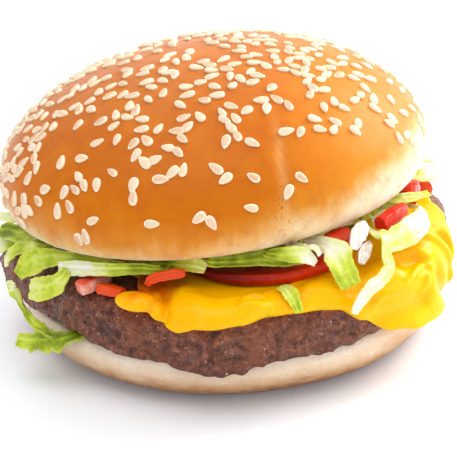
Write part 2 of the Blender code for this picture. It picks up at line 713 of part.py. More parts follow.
def rim_shreds():
    """Shreds that stick out round the sides and back, drawn in order from one random state."""
    draw = np.random.RandomState(RIM_RANDOM_STATE)
    found = []
    for k in range(RIM_SHREDS):
        azimuth = RIM_SHREDS_FROM + (RIM_SHREDS_TO - RIM_SHREDS_FROM) * (k + 0.5) / RIM_SHREDS
        azimuth += draw.uniform(-RIM_STRAY, RIM_STRAY)
        swing, reach = draw.uniform(-RIM_SWING, RIM_SWING), draw.uniform(*RIM_REACH)
        width, drop = draw.uniform(*RIM_WIDTH), draw.uniform(*RIM_DROP)
        out = place(RIM_START, azimuth + 0.4 * swing, 0)
        out.z = crown_underside(out.x) - draw.uniform(*RIM_START_DROP)
        tip = place(reach, azimuth + swing, max(out.z - drop, RIM_TIP_LOWEST))
        bend = out.lerp(tip, 0.55) + Vector((0, 0, 0.25 * drop))
        look = place(0.5, azimuth + draw.uniform(-60, 60), 1)
        points = tuple((*point, share * width) for point, share in ((out, 0.9), (bend, 1), (tip, 0.6)))
        root = place(SHRED_ROOTS[1], azimuth, 0)
        height = min(out.z, 0.5 * (crown_underside(root.x) - GAP + BED_UNDERSIDE))
        found.append((azimuth, max(height, BED_UNDERSIDE + 0.3), look, points))
    return found


def bit_route(steps):
    """The lettuce bit's middle line on the cheese, with its width."""
    points = []
    for azimuth, along, width in LETTUCE_BIT:
        lift = cheese_lift(azimuth, along, 1) + LETTUCE_BIT_LIFT
        points.append((*over_patty(azimuth, along, lift), width))
    return smooth_route(points, steps)


def bit_faces(share):
    """The way the lettuce bit's face looks: up where it starts and forward at its end."""
    return Vector((0.2, -0.35 - 0.65 * share, 0.9 - 0.7 * share))


def bed_rings(count=28):
    """The packed lettuce: level below, up to the tilted crown above, thin at the left."""
    rings = []
    for share, level in BED_RINGS:
        ring = []
        for azimuth in azimuths(count):
            leftness = 0.5 - 0.5 * math.sin(math.radians(azimuth))
            radius = share * (BED_RADIUS + (BED_LEFT_RADIUS - BED_RADIUS) * leftness)
            spot = place(radius, azimuth, 0)
            high = crown_underside(spot.x) - GAP
            spot.z = BED_UNDERSIDE + (high - BED_UNDERSIDE) * level
            ring.append(spot)
        rings.append(ring)
    return rings


def fuse(base, pieces, solver):
    """Joins the pieces to the base in one Boolean union and keeps its largest body."""
    group = bpy.data.collections.new(base.name + "_pieces")
    bpy.context.scene.collection.children.link(group)
    for piece in pieces:
        bpy.context.collection.objects.unlink(piece)
        group.objects.link(piece)
    union = base.modifiers.new("Union", "BOOLEAN")
    union.operation = "UNION"
    union.operand_type = "COLLECTION"
    union.collection = group
    union.solver = solver
    bpy.context.view_layer.update()
    joined = bpy.data.meshes.new_from_object(base.evaluated_get(bpy.context.evaluated_depsgraph_get()))
    base.modifiers.remove(union)
    base.data = joined
    for piece in pieces:
        bpy.data.objects.remove(piece)
    bpy.data.collections.remove(group)
    drop_scraps(joined)


def drop_scraps(mesh):
    """Deletes every body of the mesh but the one with the most faces."""
    work = bmesh.new()
    work.from_mesh(mesh)
    left, bodies = set(work.verts), []
    while left:
        body, edge = set(), [left.pop()]
        while edge:
            vertex = edge.pop()
            body.add(vertex)
            for link in vertex.link_edges:
                other = link.other_vert(vertex)
                if other in left:
                    left.remove(other)
                    edge.append(other)
        bodies.append(body)
    bodies.sort(key=len)
    for body in bodies[:-1]:
        bmesh.ops.delete(work, geom=list(body), context="VERTS")
    work.to_mesh(mesh)
    work.free()


def make_bun(crust, crumb):
    new_object("bun_heel", *ringed(heel_rings()), crumb)
    crown = new_object("bun_crown", *ringed(crown_rings()), crust)
    seeds = [
        new_object(f"seed_{k}", *ringed(seed_rings(*seed)), crumb)
        for k, seed in enumerate(fused_seeds())
    ]
    fuse(crown, seeds, "EXACT")


def make_fillings(meat, cheese, tomato, onion):
    new_object("patty", *ringed(patty_rings()), meat)
    sheet = new_object("cheese", *ringed(cheese_rings()), cheese)
    lobes = [
        new_object(f"lobe_{k}", *ringed(lobe_rings(*lobe)), cheese)
        for k, lobe in enumerate(CHEESE_LOBES)
    ]
    fuse(sheet, lobes, "EXACT")
    for side in SLICE_AZIMUTHS:
        new_object(f"tomato_slice_{side}", *ringed(slice_rings(side)), tomato)
    for name, sizes in TOMATO_WEDGES.items():
        new_object(name, *ringed(wedge(*sizes)), tomato)
    strip = ribbon(
        smooth_route(TOMATO_STRIP, 8), lambda share: Vector((-0.2, -0.9, 0.3)),
        TOMATO_STRIP_THICKNESS, 1,
    )
    new_object("tomato_strip", *strip, tomato)
    for name, points in ONION_SLIVERS.items():
        shape = ribbon(
            smooth_route(points, 9), lambda share: Vector((0.5, -0.8, 0.4)), ONION_THICKNESS,
            curl=0.3,
        )
        new_object(name, *shape, onion)


def make_lettuce(leaf):
    bed = new_object("lettuce", *ringed(bed_rings()), leaf)
    shreds = []
    for k, (azimuth, height, look, points) in enumerate(SHREDS):
        shape = shred(azimuth, height, look, points, steps=2 * len(points) + 1, across=2)
        shreds.append(new_object(f"shred_{k}", *shape, leaf))
    for k, (azimuth, height, look, points) in enumerate(rim_shreds()):
        shape = shred(azimuth, height, look, points, steps=6, across=1)
        shreds.append(new_object(f"rim_shred_{k}", *shape, leaf))
    fuse(bed, shreds, "EXACT")
    new_object("lettuce_bit", *ribbon(bit_route(6), bit_faces, LEAF_THICKNESS), leaf)
    leaves = []
    for k, (look, points) in enumerate(LOWER_LEAF):
        turned = Vector(look).normalized()

        def faces_at(share):
            return Vector((0, 0, 1)).lerp(turned, clamped(6 * share - 1))

        route = smooth_route(points, 2 * len(points) - 2)
        shape = ribbon(route, faces_at, LEAF_THICKNESS, 2, LEAF_CURL, 0.1, k)
        leaves.append(new_object("lettuce_lower" if k == 0 else f"leaf_{k}", *shape, leaf))
    fuse(leaves[0], leaves[1:], "EXACT")


def main():
    for obj in list(bpy.data.objects):
        bpy.data.objects.remove(obj)
    make_bun(material("crust", CRUST), material("crumb", CRUMB))
    make_fillings(
        material("meat", MEAT), material("cheese", CHEESE),
        material("tomato", TOMATO), material("onion", ONION),
    )
    make_lettuce(material("lettuce", LETTUCE))


main()
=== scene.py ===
"""Hamburger, dressed: fine relief, seeds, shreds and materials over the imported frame.

Lengths are millimetres until make() turns them into metres. The origin, the axes and the azimuths
are the frame's: +Z is up, -Y is the front, and azimuths are degrees, 0 at the front and 90 on the
right.
"""

import math
from functools import cached_property

import bpy
import numpy as np
from mathutils import Euler, Matrix, Vector, noise


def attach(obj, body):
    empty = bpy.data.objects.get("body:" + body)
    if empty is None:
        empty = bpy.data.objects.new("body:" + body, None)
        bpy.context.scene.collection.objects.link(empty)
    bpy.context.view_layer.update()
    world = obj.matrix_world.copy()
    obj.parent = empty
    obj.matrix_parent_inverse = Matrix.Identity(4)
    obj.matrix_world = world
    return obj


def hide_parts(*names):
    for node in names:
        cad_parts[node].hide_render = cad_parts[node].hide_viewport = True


TO_METRES = 0.001
# How far touching pieces stand apart.
GAP = 0.35
# Edges that turn by more than this many degrees stay sharp.
SHARP_FROM = 55

# Camera, with the lens as the focal length in pixels of a frame that is FRAME_PIXELS wide.
FRAME_PIXELS = 457
FOCAL_PIXELS = 1212
SENSOR_WIDTH = 36
CAMERA_ELEVATION = 22.85
CAMERA_ROLL = -2.756
CAMERA_DISTANCE = 290
CAMERA_AIM = Vector((-0.6, 0, 20.55))
NEAREST_SEEN = 10

# Studio light: the sky brightens towards one side. Each light is (name, place, size, watts, colour).
BRIGHT_SIDE = (0.52, 0.34, 0.78)
SKY_DIMMEST = 0.36
SKY_BRIGHTEST = 1.32
SKY_COOL = (0.86, 0.93, 1.0)
SKY_WARM = (1.0, 0.99, 0.975)
FLOOR_REACH = 3000
FLOOR_COLOUR = (0.90, 0.935, 0.985)
# The floor glows a little: painted light that lifts the shadows round the bun.
FLOOR_GLOW_COLOUR = (0.94, 0.97, 1.0)
FLOOR_GLOW = 0.07
LIGHT_AIM = Vector((0, 0, 30))
LIGHTS = (
    ("key", (640, 380, 460), 560, 7.5, (1.0, 0.98, 0.95)),
    ("top", (-160, -140, 700), 500, 1.2, (1.0, 0.99, 0.98)),
)

# Heel.
HEEL_BASE_RADIUS = 42.0
HEEL_RADIUS = 50.0
HEEL_WIDEST_Z = 8.4
HEEL_TOP_RADIUS = 48.3
HEEL_TOP_Z = 12.0
HEEL_BELLY_POWER = 1.85
BUN_UNEVENNESS = 0.35
HEEL_SWELL_SIZE = 22
# Soft level wrinkles: how deep, how long and how wide.
HEEL_WRINKLES = 0.16
HEEL_WRINKLE_LENGTH = 9
HEEL_WRINKLE_WIDTH = 1.5

# Crown.
CROWN_RADIUS = 49.5
CROWN_DOME = 25.6
CROWN_BELOW_WIDEST = 6.3
CROWN_CUT_RADIUS = 45.1
CROWN_CENTRE = Vector((-3.4, 1.7, 39.4))
CROWN_TILT = math.radians(-4.8)
CROWN_SWELL_SIZE = 30
# Fine upright wrinkles near the edge: how deep, how many degrees wide and how long.
CROWN_WRINKLES = 0.14
CROWN_WRINKLE_TURN = 1.6
CROWN_WRINKLE_LENGTH = 14
# Here and below, a pair for relief is its height and the size of its features.
CROWN_DIMPLES = (0.10, 4.5)
# The crease down the front, in the crown's own frame: how far right, how wide and how deep.
CREASE_X = 14.8
CREASE_WIDTH = 0.8
CREASE_DEPTH = 0.3
CREASE_TOP = 20.0
CREASE_FULL = 12
CREASE_WANDER = (1.4, 6)
CRUMBS_X = CREASE_X - 0.8
CRUMBS_WIDTH = 1.7

# Seeds.
SEED_LENGTH = 3.25
SEED_WIDTH = 1.9
SEED_THICKNESS = 1.15
SEED_SINK = 0.42
SEED_DRAWS = 580
SEED_SPACING = 2.15
# The share of seeds that fall beside an earlier one, and how far from it in mm.
SEED_FOLLOWING = 0.3
SEED_STEP = (2.2, 4.0)
SEED_CLIMB_RADIUS = 38
SEED_TURN_RADIUS = 12.0
# The lowest and highest climb of a seed. They thin out to SEED_LOW_SHARE down to SEED_THIN_TO.
SEED_LOWEST, SEED_HIGHEST = -5, 89
SEED_LOW_SHARE = 0.25
SEED_THIN_FROM, SEED_THIN_TO = 32, -2
# The nearly bare side as (azimuth, width, share), and the climbs between which it ends.
SEED_BARE = (28, 46, 0.93)
SEED_BARE_FROM, SEED_BARE_TO = 24, 52
SEED_RANDOM_STATE = 11

# Patty. Each lump is (azimuth, width, height).
PATTY_RADIUS = 51.2
PATTY_UNDERSIDE = HEEL_TOP_Z + 0.4
PATTY_TOP = 23.2
PATTY_MIDDLE = 17.8
PATTY_TOP_EDGE = 5.0
PATTY_LUMPS = (
    (-85, 16, 3.2), (-58, 12, -1.2), (-4, 9, 2.4), (74, 22, -3.1), (101, 9, 3.4), (150, 22, 1.4),
    (-140, 25, 1.2),
)
PATTY_LOW_SIDE = ((0.05, 15.6), (0.2, 13.8), (0.5, 12.7), (1.1, PATTY_UNDERSIDE + 0.05))
PATTY_SAG = (
    (-180, 0.0), (-62, 0.2), (-52, 1.2), (-42, 1.35), (-35, 0.2), (-28, -0.9), (-17, -0.9), (-11, -1.8),
    (-5, -2.3), (0, -2.1), (5, -1.2), (12, -0.9), (26, -1.0), (34, -0.2), (44, 0.0),
)
# The side sags more and more from the first height down over the depth.
PATTY_SAG_TOP = PATTY_MIDDLE - 1.5
PATTY_SAG_DEPTH = 2.5
PATTY_CRAGS = 0.55
PATTY_CRAG_SIZES = (3.1, 7.0)
# Over how much height the crags fade out at the top and at the underside.
PATTY_FADE_ABOVE = 2.0
PATTY_FADE_BELOW = 0.4
# How uneven the lower edge hangs.
PATTY_HEM = (0.55, 2.4)
PATTY_STEP = 0.28
# Finer crags, as (size of the features, height).
PATTY_GRAIN = ((1.9, 0.42), (1.0, 0.32), (0.5, 0.15))

# Cheese.
CHEESE_THICKNESS = 2.1
CHEESE_TOP_GAP = 0.45
CHEESE_SIDE_GAP = 1.3
CHEESE_FOLDS = 0.8
CHEESE_FOLD_SIZE = 6
# Over how much of the bend the slice goes from the patty's top to its side.
CHEESE_TURN = 4
CHEESE_OPENING = 0.45
CHEESE_HEM = 0.35
CHEESE_HEM_TURN = 4.5
CHEESE_THINNING = 0.5
CHEESE_VOXEL = 0.45
CHEESE_SMOOTHING = 3
# The slice is still flat up to this share of the patty's top, or of its own reach if less.
CHEESE_FLAT_SHARE = 0.88
CHEESE_FLAT_REACH = 0.8
# How far beyond the patty's flat top its edge lies.
CHEESE_EDGE = (
    (-180, 1.0), (-150, 2.5), (-128, 6.5), (-108, -3.0), (-80, -12.0), (-45, -12.0), (-32, -7.5),
    (-25, -0.6), (-18, 4.9), (-13, 5.5), (-6, 5.3), (0, 4.8), (8, 4.3), (16, 4.4), (24, 5.2), (29, 7.8),
    (37, 12.0), (46, 14.2), (58, 14.4), (67, 12.6), (77, 8.4), (84, 5.2), (90, 2.0), (96, -0.6),
    (102, -3.0), (109, -4.0), (116, 0.5), (135, 5.0), (150, 9.4), (164, 4.0),
)
CHEESE_DRAPE = (55, 16, 1.7)
CHEESE_LOBES = (
    ((-19.9, -46.1, 24.9), (4.9, 2.9, 1.9), -23, 0),
    ((3.0, -51.9, 24.7), (3.4, 1.5, 2.2), 0, 0),
    ((19.4, -44.4, 25.5), (6.6, 3.2, 1.4), 26, 6),
)
# Melted ridges and hollows on the slice: (azimuth, along) of both ends, width and height.
CHEESE_RIDGES = (
    ((44, 48.3), (51, 49.2), 1.2, -2.0),
    ((70, 48.0), (72, 49.0), 1.0, -1.8),
    ((-17.6, 46.6), (-15.4, 50.8), 0.9, -2.2),
    ((33, 54.6), (47, 54.0), 1.8, -1.7),
    ((55, 52.0), (61, 57.0), 1.7, -2.0),
    ((24, 46.0), (30, 50.0), 1.6, -0.9),
    ((68, 51.0), (72, 54.0), 1.4, -1.5),
    ((36, 59.5), (60, 59.5), 1.8, 1.1),
    ((74, 53.0), (84, 49.5), 1.5, 1.0),
    ((-13, 45.0), (-9, 50.0), 2.6, 0.9),
    ((18, 49.0), (22, 51.0), 1.8, 0.6),
    ((120, 50.0), (150, 53.0), 2.0, 0.8),
    ((126, 44.0), (140, 47.0), 1.6, -0.8),
    ((-150, 47.0), (-128, 51.5), 1.6, 0.8),
)
# Thin folds that stand on the slice, as (radius, how far its middle is sunk as a share of the
# radius, points of azimuth and along).
CHEESE_FOLD_LINES = (
    (0.5, -0.3, ((12.5, 47.3), (15.5, 45.3), (17.5, 44.9), (20.5, 43.5), (24, 41.8), (31, 39.8))),
    (0.55, -0.3, ((0.6, 52.2), (1.6, 49.8), (4, 48.2), (6.4, 48.8), (7.8, 51.0))),
    (0.45, -0.3, ((2.6, 52.0), (3.2, 50.6), (4.5, 50.2), (5.6, 51.2))),
    (0.8, -0.2, ((30.5, 52.6), (34, 51.4), (40, 51.3), (44.5, 50.5), (50, 49.8), (54, 50.6))),
    (0.6, -0.2, ((45.4, 53.0), (48.0, 52.0), (49.8, 50.8))),
    (0.95, 0.1, ((40, 47.0), (45, 46.6), (50, 47.2), (54, 49.3))),
    (1.3, -0.1, ((50, 45.6), (57, 46.4), (63, 48.8), (67, 52.5), (66, 56.0))),
    (0.9, -0.1, ((68, 46.6), (73, 47.4), (74, 50.5), (70, 52.5))),
    (0.7, 0.2, ((-15.4, 51.8), (-12, 53.0), (-8, 52.8), (-5, 51.6))),
    (0.9, 0.2, ((122, 49.0), (132, 51.5), (144, 52.0), (152, 55.0))),
    (0.8, 0.2, ((-142, 50.0), (-134, 49.0), (-126, 51.0))),
)
CHEESE_CLING = 1.5
# Tomato juice on the slice, where it comes out from under the pieces at the left.
JUICE_SPOT = (-17.5, -41.0, 25.6)
JUICE_REACH = 8.5
JUICE_FULL = 3

# Tomato.
SLICE_RADII = {"front": 19.4, "right": 19.4, "left": 16.6}
SLICE_DISTANCES = {"front": 26.0, "right": 25.0, "left": 20.2}
SLICE_AZIMUTHS = {"front": 14, "right": 127, "left": -117}
SLICE_THICKNESS = 2.6
SLICE_UNDERSIDE = PATTY_TOP + CHEESE_TOP_GAP + CHEESE_THICKNESS + GAP
SLICE_TOP = SLICE_UNDERSIDE + SLICE_THICKNESS
SLICE_SKIN = 0.9
# How far in from the rim the rings of its flat faces lie.
SLICE_INSETS = (7.0, 3.0)
SLICE_HEM = (0.5, 2)
SLICE_HEM_TURN = 20
SLICE_DENTS = (0.12, 2.5)
# Painted shade: the front slice is darkest at its left, and painted light brightens it at its right, going
# over from one distance to the right of the middle to another.
SLICE_PAINTED_SHADE_FROM = -2.0
SLICE_PAINTED_SHADE_TO = 16.0
# Each wedge is (centre, length, width, height, turn about the upright axis, dip, how pale its
# front is, how orange it is).
TOMATO_WEDGES = {
    "tomato_wedge_left": ((-29.4, -36.2, 25.2), 8.0, 4.0, 2.9, 44, 0, 1.0, 0.25),
    "tomato_wedge_front_left": ((-25.4, -40.1, 24.9), 5.8, 2.6, 2.3, -30, 0, 0.15, 0.8),
    "tomato_wedge_front_right": ((21.9, -37.6, 33.7), 5.4, 3.6, 2.6, 32, -4, 0.2, 0.3),
    "tomato_wedge_right": ((34.2, -29.8, 34.3), 9.6, 4.0, 3.0, 50, -3, 0.05, 0.1),
    "tomato_wedge_far_right": ((40.4, -15.4, 34.1), 7.6, 4.4, 3.2, 72, -2, 0.05, 0.1),
    "tomato_wedge_back_right": ((46.0, 5.4, 27.7), 7.0, 4.4, 3.0, 96, 0, 0.3, 0.3),
}
# A wedge's cross-section, as shares of its width and height, its size along its length, and how
# far its ends are cut askew.
WEDGE_OUTLINE = (
    (-0.34, 0.5), (0.22, 0.46), (0.5, 0.12), (0.34, -0.5), (-0.42, -0.46), (-0.5, -0.1),
)
WEDGE_TAPER = ((-0.5, 0.93), (-0.46, 1.0), (0.1, 1.0), (0.46, 0.78), (0.5, 0.7))
WEDGE_SKEW = 0.22
WEDGE_DENTS = (0.16, 1.6)
WEDGE_SHARP_FROM = 30
TOMATO_STRIP = (
    (-17.6, -44.6, 27.7, 1.4), (-16.8, -44.4, 28.8, 1.9), (-15.2, -44.5, 29.5, 2.0),
    (-12.4, -44.4, 29.9, 2.0), (-9.8, -44.2, 29.9, 1.4),
)
TOMATO_STRIP_THICKNESS = 1.1
# Here and below, waves are what ribbon() takes for how a strip curls, ruffles, frays and folds.
STRIP_WAVES = {"curl": 0.2, "ragged": 0.25, "pleats": 0.12}

# Onion.
ONION_SLIVERS = {
    "onion_sliver_upper": (
        (27.8, -37.0, 35.4, 1.6), (26.7, -38.6, 35.3, 3.2), (25.4, -40.3, 34.7, 3.8),
        (24.7, -41.8, 33.3, 2.8), (24.5, -42.3, 32.4, 1.6),
    ),
    "onion_sliver_lower": (
        (28.4, -38.0, 31.7, 1.4), (27.5, -39.6, 31.4, 2.5), (26.5, -41.4, 30.8, 2.9),
        (25.9, -42.6, 29.3, 1.6),
    ),
}
ONION_THICKNESS = 0.8
ONION_WAVES = {"curl": 0.3, "ragged": 0.14, "pleats": 0.06}

# Lettuce.
BED_UNDERSIDE = SLICE_TOP + 0.55
BED_RADIUS = 37.0
BED_LEFT_RADIUS = 31.0
BED_CRUMPLE = (1.5, 3)
LEAF_THICKNESS = 0.5
# How far from the middle each shred starts, inside the bed.
SHRED_ROOTS = (26, 33)
SHRED_WAVES = {"curl": 0.14, "ruffle": 0.16, "frill": 0.07, "ragged": 0.12, "pleats": 0.13}
# Each shred is (azimuth and height of its root, the way its face looks, how pale its root and
# its tip are, and points along it with its width there).
SHREDS = (
    (-34, 30.1, (-0.5, -0.7, 0.5), (0.25, 0.35), (
        (-21.5, -39.4, 29.8, 2.4), (-26.5, -36.8, 29.3, 2.8), (-30.8, -34.2, 28.9, 3.0),
        (-35.2, -31.4, 28.6, 3.2), (-39.3, -29.4, 28.0, 4.2), (-42.6, -28.0, 26.7, 5.8),
        (-44.9, -27.5, 25.1, 5.4), (-46.6, -28.2, 23.6, 3.6))),
    (-26, 30.4, (-0.45, -0.8, 0.4), (0.2, 0.9), (
        (-14.0, -42.2, 30.2, 1.8), (-19.0, -41.7, 30.1, 2.2), (-23.6, -40.3, 29.5, 2.6),
        (-28.4, -37.9, 28.8, 2.9), (-32.5, -36.0, 28.3, 3.3), (-36.8, -33.6, 27.5, 2.6))),
    (-44, 30.0, (-0.35, -0.75, 0.6), (0.4, 0.35), (
        (-33.4, -34.0, 28.0, 2.4), (-36.2, -36.0, 26.0, 3.4), (-38.0, -36.4, 24.6, 5.0),
        (-40.8, -35.0, 23.4, 5.4), (-43.6, -32.4, 22.3, 4.0))),
    (-68, 29.7, (-0.1, -0.6, 0.8), (0.2, 0.1), (
        (-42.0, -21.6, 28.2, 3.8), (-45.6, -17.0, 27.7, 4.6), (-49.8, -12.4, 27.3, 4.6),
        (-53.4, -9.4, 26.6, 3.0))),
    (-86, 29.7, (-0.1, -0.4, 0.9), (0.7, 0.9), (
        (-45.0, -7.0, 27.9, 3.4), (-49.0, -4.8, 27.4, 3.6), (-52.4, -2.4, 27.1, 3.2),
        (-55.0, -0.6, 27.0, 2.2))),
    (-60, 29.7, (-0.6, -0.6, 0.5), (0.3, 0.7), (
        (-40.6, -25.2, 28.7, 2.6), (-44.2, -23.0, 27.9, 3.0), (-47.4, -20.8, 26.8, 3.0),
        (-49.4, -20.8, 25.0, 2.6), (-50.0, -22.6, 23.6, 1.6))),
    (-74, 29.7, (-0.8, -0.4, 0.45), (0.4, 0.8), (
        (-44.4, -14.6, 27.2, 3.2), (-49.0, -12.4, 25.4, 4.0), (-52.8, -10.6, 23.6, 4.2),
        (-55.4, -9.0, 21.4, 3.0))),
    (-24, 31.0, (-0.1, -0.85, 0.5), (0.1, 0.5), (
        (-18.6, -38.6, 30.3, 2.2), (-14.8, -40.2, 30.6, 2.6), (-10.4, -41.6, 30.7, 2.8),
        (-7.2, -42.6, 30.7, 3.0), (-5.6, -43.2, 30.1, 2.2))),
    (-6, 31.6, (0.05, -0.85, 0.5), (0.05, 0.15), (
        (-5.4, -41.6, 31.5, 2.4), (-0.2, -43.0, 31.6, 2.8), (5.9, -43.4, 32.0, 3.4),
        (10.6, -43.2, 31.7, 3.6), (14.2, -42.4, 31.1, 2.6))),
    (8, 32.6, (0.2, -0.85, 0.5), (0.2, 1.0), (
        (6.4, -42.2, 32.9, 1.6), (8.8, -45.0, 33.5, 2.4), (11.2, -45.9, 33.6, 3.2),
        (13.4, -45.7, 33.4, 3.3), (15.2, -45.3, 32.4, 2.7), (16.5, -45.0, 30.9, 1.4))),
    (16, 33.2, (0.8, -0.5, 0.3), (1.0, 1.0), (
        (12.4, -40.0, 33.3, 1.2), (14.8, -43.4, 34.1, 1.4), (16.6, -44.4, 34.0, 1.4),
        (17.6, -44.6, 32.6, 1.2))),
    (22, 33.2, (0.3, -0.9, 0.35), (0.9, 0.25), (
        (15.4, -37.6, 33.2, 2.0), (18.8, -42.2, 33.9, 3.0), (20.8, -44.0, 32.6, 5.6),
        (22.0, -45.4, 29.9, 5.6), (23.6, -47.4, 26.6, 4.2))),
    (46, 33.0, (0.5, -0.8, 0.3), (0.7, 1.0), (
        (28.8, -35.8, 33.4, 1.8), (31.4, -39.8, 33.6, 2.8), (31.2, -42.0, 31.0, 2.8),
        (31.6, -43.2, 28.4, 2.6), (29.8, -46.0, 27.4, 2.8), (27.0, -48.4, 26.2, 3.0),
        (24.8, -49.8, 24.0, 2.6), (23.8, -50.0, 21.8, 1.6))),
    (66, 31.2, (0.5, -0.7, 0.45), (0.85, 0.5), (
        (41.0, -18.0, 31.2, 2.2), (41.4, -24.8, 31.4, 4.4), (38.2, -31.4, 31.8, 5.6),
        (34.4, -36.0, 31.8, 5.4), (31.2, -39.6, 31.7, 3.4))),
    (58, 34.2, (0.3, -0.4, 0.9), (0.5, 0.45), (
        (34.4, -23.0, 35.0, 2.2), (39.2, -22.8, 35.4, 2.6), (43.6, -20.4, 35.2, 1.8))),
    (84, 33.8, (0.2, -0.4, 0.9), (0.6, 0.9), (
        (42.4, -6.0, 33.9, 3.2), (46.6, -4.4, 33.6, 3.6), (50.2, -1.6, 32.6, 2.4))),
    (98, 32.0, (0.3, 0.1, 0.95), (0.5, 0.8), (
        (43.4, 6.4, 33.0, 3.4), (47.0, 8.2, 32.6, 3.8), (50.2, 9.6, 31.2, 2.4))),
)
# A bit of lettuce that lies on the cheese, as (azimuth, along, width), and how far above it.
LETTUCE_BIT = ((11.6, 46.9, 2.2), (12.6, 48.0, 3.2), (13.2, 49.4, 2.8), (13.6, 51.0, 1.6))
LETTUCE_BIT_LIFT = 0.62
LETTUCE_BIT_PALES = (0.55, 0.25)
BIT_WAVES = {"curl": 0.1, "frill": 0.08, "ragged": 0.25, "pleats": 0.1}
# Shreds round the sides and back, drawn evenly over these azimuths: how far they may stray and
# swing, where they start and how far under the crown, and how far they reach, how wide they are
# and how much they drop. Then how pale their roots and tips are, in turn.
RIM_SHREDS_FROM, RIM_SHREDS_TO, RIM_SHREDS = 102, 262, 11
RIM_RANDOM_STATE = 5
RIM_STRAY = 4
RIM_SWING = 9
RIM_START = 43
RIM_START_DROP = (1.5, 2.1)
RIM_REACH = (48, 54)
RIM_WIDTH = (3.6, 6)
RIM_DROP = (1.2, 3.6)
RIM_TIP_LOWEST = PATTY_TOP + CHEESE_THICKNESS + 2.2
RIM_PALE_ROOTS = (0.2, 0.5, 0.8)
RIM_PALE_TIPS = (0.4, 0.15, 0.95, 0.6)
# Short shreds packed round the bed's rim, seen in the gaps between the longer ones.
PACKED_SHREDS = 120
PACKED_RANDOM_STATE = 23
PACKED_STRAY = (-2.5, 1.6)
PACKED_WIDTH = (1.8, 3.6)
PACKED_LENGTH = (5, 11)
PACKED_PALES = (0.05, 0.15, 0.3, 0.6, 0.9)
PACKED_WAVES = {"ruffle": 0.15, "frill": 0.1, "ragged": 0.2}
# The leaf that the patty pins to the heel, and the strip that rises from it.
LOWER_LEAF = (
    ((-0.3, -0.5, 0.8), (0.1, 0.3), (
        (-31.6, -34.0, 12.64, 3.4), (-34.6, -36.2, 12.6, 4.0), (-37.4, -36.4, 11.6, 4.4),
        (-40.8, -34.8, 10.6, 4.8), (-44.6, -32.6, 9.7, 4.6), (-48.0, -31.4, 9.6, 2.6))),
    ((-0.75, -0.6, 0.25), (0.3, 0.6), (
        (-38.8, -35.0, 11.4, 1.6), (-41.6, -32.0, 12.0, 2.0), (-44.4, -29.2, 13.2, 2.4),
        (-46.4, -27.6, 15.6, 2.6), (-47.6, -27.0, 18.4, 3.0), (-48.8, -26.6, 20.6, 3.0),
        (-47.6, -29.0, 21.4, 1.6))),
)
LOWER_LEAF_WAVES = {"curl": 0.12, "ruffle": 0.1, "frill": 0.16, "ragged": 0.3, "pleats": 0.2}


def place(radius, azimuth, z):
    """The point at that distance from the upright axis, azimuth and height."""
    turn = math.radians(azimuth)
    return Vector((radius * math.sin(turn), -radius * math.cos(turn), z))


def azimuths(count):
    return [360 * k / count for k in range(count)]


def apart(azimuth, other):
    """The signed difference of two azimuths, from -180 to 180."""
    return (azimuth - other + 180) % 360 - 180


def clamped(share):
    return min(1, max(0, share))


def lump(azimuth, centre, width, height):
    return height * math.exp(-((apart(azimuth, centre) / width) ** 2))


def between(value, low, high):
    """0 up to low, 1 from high, and eased in the middle."""
    t = clamped((value - low) / (high - low))
    return t * t * (3 - 2 * t)


def eased(value, stops):
    """Reads a table of (azimuth, amount) round the circle, eased between its stops."""
    value = apart(value, 0)
    closed = (*stops, (stops[0][0] + 360, stops[0][1]))
    for (a, low), (b, high) in zip(closed, closed[1:]):
        if a <= value <= b:
            return low + (high - low) * between(value, a, b)
    raise ValueError(value)


def arc(start, end, steps):
    """Angles in radians from start to end degrees, both included."""
    return [math.radians(start + (end - start) * k / steps) for k in range(steps + 1)]


def unevenness(point, amount, scale):
    """Smooth noise from -amount to amount, with features of about that many millimetres."""
    return amount * noise.noise(Vector(point) / scale)


def ringed(rings, **marks):
    """A closed skin over rings of equal count, top to bottom, as (points, faces, marks).

    marks are lists of one number a point, by name.
    """
    points, faces, starts = [], [], []
    for ring in rings:
        starts.append(len(points))
        points.extend(ring)
    for k in range(len(rings) - 1):
        above, below = rings[k], rings[k + 1]
        count = max(len(above), len(below))
        for i in range(count):
            j = (i + 1) % count
            upper = [starts[k] + i % len(above), starts[k] + j % len(above)]
            lower = [starts[k + 1] + j % len(below), starts[k + 1] + i % len(below)]
            corners = upper[:1] + lower[::-1] + upper[1:]
            faces.append(list(dict.fromkeys(corners)))
    if len(rings[0]) > 1:
        faces.append(list(range(len(rings[0]))))
    if len(rings[-1]) > 1:
        faces.append([starts[-1] + i for i in reversed(range(len(rings[-1])))])
    return points, faces, marks


def joined(shapes):
    """One (points, faces, marks) of many."""
    points, faces, marks = [], [], {}
    for more_points, more_faces, more_marks in shapes:
        start = len(points)
        points.extend(more_points)
        faces.extend([i + start for i in face] for face in more_faces)
        for name, values in more_marks.items():
            marks.setdefault(name, []).extend(values)
    return points, faces, marks


def new_object(name, points, faces):
    """An object in the scene, from points in mm."""
    mesh = bpy.data.meshes.new(name)
    mesh.from_pydata([Vector(p) * TO_METRES for p in points], [], faces)
    obj = bpy.data.objects.new(name, mesh)
    bpy.context.scene.collection.objects.link(obj)
    return obj


def make(name, shape, finish, nodes, sharp=SHARP_FROM):
    """An object of that shape, which replaces those nodes and rides on the body.

    Edges that turn by more than sharp, in degrees, stay sharp.
    """
    points, faces, marks = shape
    obj = new_object(name, points, faces)
    for mark, values in marks.items():
        obj.data.attributes.new(mark, "FLOAT", "POINT").data.foreach_set("value", values)
    obj.data.materials.append(finish)
    obj.data.shade_smooth()
    obj.data.set_sharp_from_angle(angle=math.radians(sharp))
    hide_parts(*nodes)
    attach(obj, "root")


# Materials.


